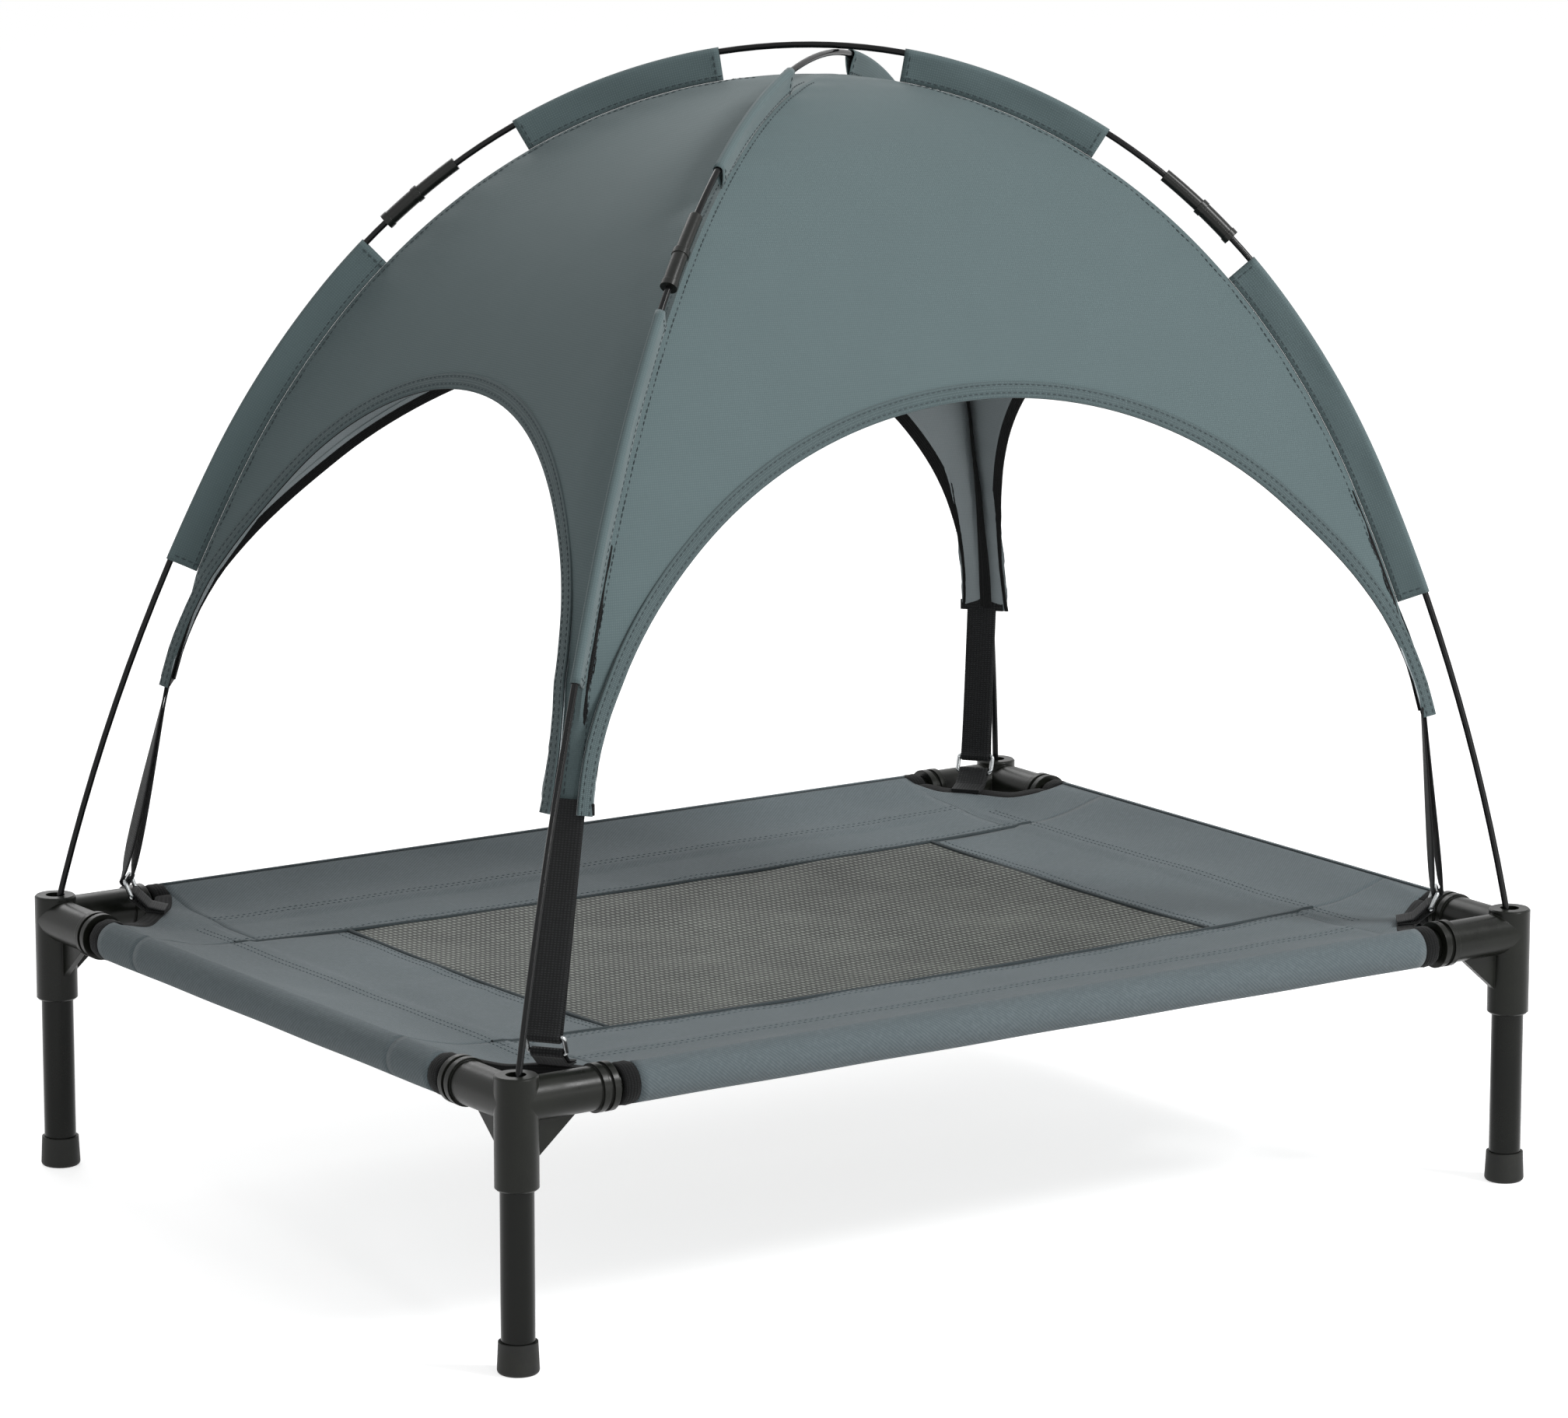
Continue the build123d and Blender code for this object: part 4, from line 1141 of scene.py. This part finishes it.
@dataclass
class Canopy:
    """Dome of four panels on two crossing hoops, with sleeves, tapes and elastic straps."""

    finishes: Finishes
    over: Hoop = field(default_factory=lambda: Hoop(-1, 5.8, 18.0, 548.4075, 18.0, 16.381))
    under: Hoop = field(default_factory=lambda: Hoop(1, -1.8, 29.0, 542.9356, 13.7, 33.986))
    long_rise: float = 219.0
    end_rise: float = 209.0
    cloth: float = 0.6
    tape: float = 10.0
    black_fold: float = 7.0
    fin_cloth: float = 0.4
    upper_sleeve: tuple[float, float] = (58.0, 194.0)
    lower_sleeve: tuple[float, float] = (313.0, 549.0)
    pocket: float = 2.9
    seam_press: float = 12.0
    seam_flat_start: float = 5.0
    seam_flat_run: float = 1.7
    seam_lower: float = 0.65
    seam_wider: float = 2.0
    arch_rows: tuple[float, float] = (7.6, 2.4)
    arch_row_lift: float = 0.95
    ridge_row: float = 4.5
    ridge_row_lift: float = 0.15
    strap_width: float = 20.0
    webbing: float = 1.2
    ring_inset: float = 50.0
    ring_z: float = 177.0
    ring_tilt: float = 68.0
    ring_span: float = 11.2
    loop: float = 2.3
    strap_loop: float = 3.2
    strap_top: float = 9.0
    strap_open: float = 6.0
    strap_held: float = 4.0
    tab_open: float = 4.5
    tip_inset: float = 1.6
    tip_band: float = 30.0
    tip_band_width: float = 7.0
    tip_band_up: float = 3.5
    tip_band_in: float = 0.6
    tab_edge: tuple[float, float] = (59.4, 168.9)
    tab_tail: tuple[float, float] = (11.0, 1.54)
    strap_turn: dict[str, float] = field(
        default_factory=lambda: {"front_left": 4.0, "front_right": 8.0, "rear_left": 20.0, "rear_right": -5.0}
    )

    def __post_init__(self) -> None:
        """Work out the ridges and panels."""
        self.hoop_at = {
            "front_left": (self.under, -1),
            "front_right": (self.over, 1),
            "rear_left": (self.over, -1),
            "rear_right": (self.under, 1),
        }
        steps = np.linspace(0, TIP, 421)
        ridges = {
            corner: np.array([hoop.ridge_point(side, t) for t in steps])
            for corner, (hoop, side) in self.hoop_at.items()
        }
        crown = np.mean([ridge[0] for ridge in ridges.values()], axis=0)
        for ridge in ridges.values():
            ridge[0] = crown
        self.panels = [
            Panel("front", ("front_left", "front_right"), 0, self.long_rise, ridges),
            Panel("right", ("front_right", "rear_right"), 1, self.end_rise, ridges),
            Panel("rear", ("rear_left", "rear_right"), 0, self.long_rise, ridges),
            Panel("left", ("front_left", "rear_left"), 1, self.end_rise, ridges),
        ]

    def dome(self) -> list[tuple[Panel, Array, Array]]:
        """Make the four panels one sheet.

        Returns:
            Each panel with its points and outward directions.
        """
        work = Patchwork()
        shaped = []
        row, column = 59, 40  # A quad well inside the panel, which tells the cloth's two sides apart.
        for panel in self.panels:
            points, outward, cut = panel.grid()
            corner = points[row, column]
            across = np.cross(points[row + 1, column] - corner, points[row, column + 1] - corner)
            work.grid(points, cut, flip=bool(across @ outward[row, column] < 0))
            shaped.append((panel, points, outward))
        finishes = [self.finishes.canopy_outside, self.finishes.canopy_inside]
        dome = work.build("canopy_dome", finishes, self.cloth, inner_slot=1)
        settle(dome, "canopy", "canopy_cloth", *(f"canopy_panel_{panel.name}" for panel in self.panels))
        return shaped

    def arch_tape(self, panel: Panel, points: Array, outward: Array, sewing: Stitching) -> None:
        """Make the folded binding along an arch: slate outside, black on the fold, pale inside.

        Args:
            panel: the panel above the arch.
            points: the panel's points.
            outward: its outward directions.
            sewing: the canopy's stitches, which get two rows.
        """
        inside = slice(panel.tip_columns - 1, -(panel.tip_columns - 1))
        edge, normal = points[-1, inside], outward[-2, inside]
        along = unit(np.gradient(edge, axis=0))
        normal = unit(normal - along * (normal * along).sum(axis=-1, keepdims=True))
        rise = np.cross(normal, along)
        rise *= np.sign(rise[len(rise) // 2, 2])
        # Height above the edge and distance out of the cloth.
        top, shoulder, fold = self.tape, self.tape - 0.3, (-0.6, 0.1)
        front = [(top, 0.1), (shoulder, 0.8), (5.0, 1.0), (0.8, 0.8), fold]
        black = [fold, (-0.6, -0.7), (0.8, -1.4), (self.black_fold, -1.6)]
        pale = [black[-1], (shoulder, -1.4), (top, -0.6)]
        work = Patchwork()
        run = run_along(edge)
        at = 40  # A place well inside the arch, which tells the tape's two sides apart.
        for slot, section in enumerate((front, black, pale)):
            place = np.array(section)
            grid = edge[:, None] + rise[:, None] * place[:, :1] + normal[:, None] * place[:, 1:]
            turned = np.cross(grid[at + 1, 0] - grid[at, 0], grid[at, 1] - grid[at, 0]) @ normal[at]
            work.grid(grid, cut_places(place[:, 0], run), slot, flip=bool(turned < 0) == (slot == 0))
        for up in self.arch_rows:
            sewing.row(edge + rise * up + normal * self.arch_row_lift, normal)
        finishes = [self.finishes.grey_tape, self.finishes.black_tape, self.finishes.canopy_inside]
        tape = work.build(f"arch_binding_{panel.name}", finishes)
        settle(tape, "canopy", "canopy_tape", f"arch_tape_{panel.name}")

    def ridge_rows(self, points: Array, outward: Array, sewing: Stitching) -> None:
        """Sew a row beside both ridges of a panel.

        Args:
            points: the panel's points.
            outward: its outward directions.
            sewing: the canopy's stitches.
        """
        sewn = slice(8, -2)
        for column, step in ((0, 1), (-1, -1)):
            ridge = points[sewn, column]
            inward = unit(points[sewn, column + step * 4] - ridge)
            out = outward[sewn, column + step * 2]
            sewing.row(ridge + inward * self.ridge_row + out * self.ridge_row_lift, out)

    def sleeve(self, corner: str, part: str, stretch: tuple[float, float], sewing: Stitching) -> None:
        """Make the folded cloth fin between a ridge and its rod.

        Args:
            corner: which corner's side of the hoop.
            part: upper or lower.
            stretch: its start and end along the rod from the crown.
            sewing: the canopy's stitches.
        """
        hoop, side = self.hoop_at[corner]
        lengths = np.linspace(*stretch, int((stretch[1] - stretch[0]) / 4) + 1)
        wall = np.linspace(0, 1, 7)[:, None]
        around = np.radians(np.linspace(80, 280, 13))
        pocket = self.pocket * np.stack([np.cos(around), np.sin(around)], axis=1)
        seam = np.array([hoop.ridge - 0.1, 0.55])
        flank = seam + (pocket[0] - seam) * wall[:-1]
        section = np.concatenate([flank, pocket, flank[::-1] * (1, -1)])
        run = run_along(section)
        share = np.clip(section[:, 0] / seam[0], 0, 1)
        rows = []
        for length in lengths:
            from_end = min(length - stretch[0], stretch[1] - length)
            hem = 0.25 if from_end < 6 else 0.0
            billow = 0.5 * np.sin(length / 13.0) * np.sin(math.pi * share)
            asides = section[:, 1] + np.copysign(hem, section[:, 1]) + billow
            spots = [hoop.place(side * length, inset) for inset in section[:, 0]]
            rows.append([hoop.world(spot, aside) for spot, aside in zip(spots, asides)])
        points = np.array(rows)
        work = Patchwork()
        work.grid(points, cut_places(run, lengths), flip=side < 0)
        for columns, edge, out in ((slice(0, 7), 1, 1), (slice(-7, None), -2, -1)):
            lift = hoop.normal * out
            for row in (points[:, edge], points[1, columns], points[-2, columns]):
                sewing.row(row + lift * 0.1, np.tile(lift, (len(row), 1)))
        fin = work.build(f"pole_fin_{part}_{corner}", [self.finishes.canopy_outside], self.fin_cloth)
        settle(fin, "canopy", "canopy_cloth", f"pole_sleeve_{part}_{corner}")

    def seam_tapes(self) -> None:
        """Make the bound seam allowances inside each ridge, pressed to one side."""
        # Inset from the ridge and distance to the side.
        fin = [(1.2, 0.5), (2.0, 0.8), (8.6, 0.8), (9.4, 0.35), (9.4, -0.35), (8.6, -0.8), (2.0, -0.8)]
        fin += [(1.2, -0.5), (1.2, 0.5)]
        cosine, sine = math.cos(math.radians(self.seam_press)), math.sin(math.radians(self.seam_press))
        section = [(inset * cosine - aside * sine, inset * sine + aside * cosine) for inset, aside in fin]
        work = Patchwork()
        steps = np.linspace(0.12, 6.96, 120)
        for hoop, side in self.hoop_at.values():
            grid = np.array([self.seam_row(hoop, side, t, section) for t in steps])
            work.grid(grid, cut_places(np.arange(len(section)) * 2.0, steps * RIDGE_STEP), flip=side < 0)
        tape = work.build("ridge_seam_tape", [self.finishes.black_tape])
        settle(tape, "canopy", "black_tape", "seam_tapes")

    def seam_row(self, hoop: Hoop, side: int, t: float, section: list[tuple[float, float]]) -> list[Array]:
        """One cross row of a seam tape, which lies lower and flatter where the panels pinch together.

        Args:
            hoop: the hoop whose ridge it follows.
            side: which side of the hoop, -1 or 1.
            t: place along the ridge.
            section: inset and distance to the side of each corner of the tape.
        Returns:
            The row's points.
        """
        foot = section[0][0]
        pressed = min(1.0, max(0.0, (t - self.seam_flat_start) / self.seam_flat_run))
        height, spread = 1.0 - self.seam_lower * pressed, 1.0 + self.seam_wider * pressed
        row = []
        for inset, aside in section:
            trimmed = foot + (inset - foot) * height
            wave = 0.4 * math.sin(t * 9) * trimmed / 9
            row.append(hoop.ridge_point(side, t, trimmed, aside * spread + wave))
        return row

    def ribbon(self, path: Array, across: Array, width: float, work: Patchwork) -> None:
        """Add flat webbing along a path.

        Args:
            path: the middle of the webbing, one row each.
            across: the direction of its width, one for all or one for each point.
            width: its width.
            work: where it goes.
        """
        across = np.broadcast_to(across, path.shape)
        face = unit(np.cross(unit(np.gradient(path, axis=0)), across))
        half, thick = width / 2, self.webbing / 2
        corners = [(half, 0.3), (half - 0.5, 0.95), (half * 0.5, 1.0), (0.0, 1.0), (-half * 0.5, 1.0)]
        corners += [(0.5 - half, 0.95), (-half, 0.3)]
        section = np.array(corners + [(wide, -lift) for wide, lift in reversed(corners)] + corners[:1])
        points = path[:, None] + section[:, :1] * across[:, None] + section[:, 1:] * thick * face[:, None]
        closed = [np.repeat(path[at : at + 1, None], len(section), axis=1) for at in (0, len(path) - 1)]
        points = np.concatenate([closed[0], points, closed[1]])
        run = np.pad(run_along(path), 1, mode="edge")
        work.grid(points, cut_places(section[:, 0], run), flip=True)

    def ring_bars(self, corner: str) -> tuple[Array, Array, Array, Array]:
        """Directions and bars of a corner's ring.

        Args:
            corner: the corner's name.
        Returns:
            The outward and sideways directions, and the ring's low and high bar in that upright plane.
        """
        outward = corner_outward(corner)
        across = np.cross(outward, UP)
        tilt = math.radians(self.ring_tilt)
        low = np.array([HALF_DIAGONAL - self.ring_inset, self.ring_z])
        return outward, across, low, low + self.ring_span * np.array([math.cos(tilt), math.sin(tilt)])

    def doubled(self, line: Array, bar: Array, loop: float) -> Array:
        """Line of webbing that runs to a bar, round it and back.

        Args:
            line: middle of the doubled webbing in an upright plane, from its far end towards the bar.
            bar: the bar's centre.
            loop: radius of the loop round the bar; the two layers open towards it.
        Returns:
            The webbing's own line.
        """
        closed = self.webbing / 2 + 0.03
        apart = closed + (loop * 0.8 - closed) * np.linspace(0, 1, len(line))[:, None] ** 1.6
        forward = unit(np.gradient(line, axis=0))
        side = np.stack([-forward[:, 1], forward[:, 0]], axis=1) * apart
        back = unit(line[-1] - bar)
        aside = np.array([back[1], -back[0]])
        turn = np.radians(np.linspace(60, 300, 25))[:, None]
        bend = bar + loop * (np.cos(turn) * back + np.sin(turn) * aside)
        first, second = line + side, line - side
        if np.linalg.norm(first[-1] - bend[0]) > np.linalg.norm(second[-1] - bend[0]):
            first, second = second, first
        return np.concatenate([first, bend, second[::-1]])

    def strap(self, corner: str) -> None:
        """Make the doubled elastic webbing from the canopy's tip to its ring, with the band across the tip.

        Args:
            corner: the corner's name.
        """
        outward, across, _, high = self.ring_bars(corner)
        hoop, side = self.hoop_at[corner]
        tip = hoop.ridge_point(side, TIP, self.tip_inset)
        top = np.array([tip @ outward, tip[2] + self.strap_top])
        to_bar = high + unit(top - high) * self.strap_open
        line = top + np.linspace(0, 1, 40)[:, None] * (to_bar - top)
        flat = self.doubled(line, high, self.strap_loop)
        share = np.clip((flat[:, 1] - high[1]) / (top[1] - high[1]), 0, 1)
        path = np.outer(flat[:, 0], outward) + np.outer(flat[:, 1], UP)
        path = path + np.outer(share * (tip @ across), across)
        turn = math.radians(self.strap_turn[corner]) * np.sin(math.pi * np.sqrt(share))
        width_way = np.outer(np.cos(turn), across) + np.outer(np.sin(turn), outward)
        work = Patchwork()
        self.ribbon(path, width_way, self.strap_width, work)
        reach = np.linspace(-0.5, 0.5, 9)[:, None] * self.tip_band
        band = tip + UP * self.tip_band_up - outward * self.tip_band_in + reach * across
        self.ribbon(band, UP, self.tip_band_width, work)
        piece = work.build(f"elastic_strap_{corner}", [self.finishes.webbing])
        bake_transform(piece)
        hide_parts(f"strap_{corner}")
        LOG.info("%s is blended from bed to canopy for strap_%s", piece.name, corner)

    def tabs(self) -> None:
        """Make the webbing tabs that hold the rings on the corner tapes."""
        work = Patchwork()
        for corner in CORNERS:
            outward, across, low, _ = self.ring_bars(corner)
            edge = np.array([HALF_DIAGONAL - self.tab_edge[0], self.tab_edge[1]])
            tail = edge - np.array(self.tab_tail)
            near = low + unit(edge - low) * self.tab_open
            laid = tail + np.linspace(0, 1, 8)[:-1, None] * (edge - tail)
            line = np.concatenate([laid, [edge, (edge + near) / 2, near]])
            flat = self.doubled(line, low, self.loop)
            path = np.outer(flat[:, 0], outward) + np.outer(flat[:, 1], UP)
            self.ribbon(path, across, self.strap_width, work)
        settle(work.build("ring_tab_webbing", [self.finishes.webbing]), "bed", "elastic_webbing", "ring_tabs")

    def build(self) -> None:
        """Make all the canopy's soft pieces."""
        sewing = Stitching()
        for panel, points, outward in self.dome():
            self.arch_tape(panel, points, outward, sewing)
            self.ridge_rows(points, outward, sewing)
        for corner in CORNERS:
            self.sleeve(corner, "upper", self.upper_sleeve, sewing)
            self.sleeve(corner, "lower", self.lower_sleeve, sewing)
            self.strap(corner)
        self.seam_tapes()
        self.tabs()
        settle(sewing.build("canopy_stitches", self.finishes.thread), "canopy", "canopy_cloth")


@dataclass
class Studio:
    """Pale floor, soft lamps and the camera of the photograph; lengths in metres, lens in millimetres."""

    camera_place: tuple[float, float, float] = (-2.3773, -3.4849, 1.1609)
    camera_target: tuple[float, float, float] = (0.0035, 0.0, 0.2988)
    lens: float = 158.2
    sensor: float = 36.0
    far: float = 60.0
    lamp_target: tuple[float, float, float] = (0.0, 0.0, 0.35)
    ambient: float = 0.33
    floor_half: float = 30.0
    floor_glow: float = 0.72

    def camera(self) -> None:
        """Put the camera where the photograph was taken."""
        data = bpy.data.cameras.new("photo camera")
        data.sensor_width, data.lens = self.sensor, self.lens
        data.clip_end = self.far
        camera = show("photo camera", data)
        self.aim(camera, self.camera_place, self.camera_target)
        bpy.context.scene.camera = camera

    def aim(self, thing: bpy.types.Object, place: Sequence[float], target: Sequence[float]) -> None:
        """Put a camera or lamp at a place and turn it to a target."""
        thing.location = place
        thing.rotation_euler = (Vector(target) - Vector(place)).to_track_quat("-Z", "Y").to_euler()

    def lamp(self, name: str, place: tuple[float, float, float], size: float, power: float) -> None:
        """Add a square soft lamp aimed at the bed.

        Args:
            name: the lamp's name.
            place: where it stands, in metres.
            size: its side, in metres.
            power: its power, in watts.
        """
        data = bpy.data.lights.new(name, "AREA")
        data.size, data.energy = size, power
        self.aim(show(name, data), place, self.lamp_target)

    def white_to_camera(
        self, tree: bpy.types.NodeTree, unseen: float, seen: float
    ) -> bpy.types.NodeSocket:
        """Strength that differs for rays that see the plain white ground: camera, mirror or glass rays.

        Args:
            tree: the tree that gets the nodes.
            unseen: strength for all other rays, which light the object.
            seen: strength where the ground is seen.
        Returns:
            The socket of the strength.
        """
        path = add_node(tree, "ShaderNodeLightPath")
        ray = path.outputs["Is Camera Ray"]
        for name in ("Is Glossy Ray", "Is Transmission Ray"):
            both = {0: ray, 1: path.outputs[name]}
            ray = add_node(tree, "ShaderNodeMath", both, operation="MAXIMUM").outputs[0]
        levels = {"Value": ray, "To Min": unseen, "To Max": seen}
        return add_node(tree, "ShaderNodeMapRange", levels).outputs["Result"]

    def world(self) -> None:
        """Even grey light that looks white where it is seen."""
        world = bpy.data.worlds.new("studio")
        world.use_nodes = True
        bpy.context.scene.world = world
        tree = world.node_tree
        looks = {"Strength": self.white_to_camera(tree, self.ambient, 1.0), "Color": linear("#ffffff")}
        set_inputs(tree, tree.nodes["Background"], looks)

    def floor(self) -> None:
        """Wide pale floor, which keeps the bed's shadow and is otherwise white where it is seen."""
        mesh = bpy.data.meshes.new("floor")
        half = self.floor_half
        corners = [(x * half, y * half, 0) for x, y in ((-1, -1), (1, -1), (1, 1), (-1, 1))]
        mesh.from_pydata(corners, [], [(0, 1, 2, 3)])
        floor = show("floor", mesh)
        material, shader = new_material("matt white paint")
        tree = material.node_tree
        looks = {
            "Base Color": linear("#e6e6e6"),
            "Roughness": 0.9,
            "Specular IOR Level": 0.0,
            "Emission Color": linear("#ffffff"),
            "Emission Strength": self.white_to_camera(tree, 0.0, self.floor_glow),
        }
        set_inputs(tree, shader, looks)
        mesh.materials.append(material)

    def build(self) -> None:
        """Set the whole stage."""
        bpy.context.scene.view_settings.view_transform = "Standard"
        self.camera()
        self.world()
        self.floor()
        self.lamp("key", (1.6, -2.6, 3.0), 1.0, 92.0)
        self.lamp("low", (0.8, -3.2, 0.8), 1.0, 14.0)
        self.lamp("glint", (-0.9, -3.4, 1.5), 0.25, 9.0)
        self.lamp("fill", (-2.8, -1.0, 1.8), 2.2, 5.0)
        self.lamp("back", (0.6, 2.8, 2.4), 2.0, 30.0)


def main() -> None:
    """Build the stage and the bed."""
    logging.basicConfig(level=logging.INFO, format="%(message)s")
    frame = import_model()
    Studio().build()
    finishes = Finishes()
    Frame(finishes).dress(frame["nodes"])
    Sling(finishes).build()
    Canopy(finishes).build()


if __name__ == "__main__":
    main()
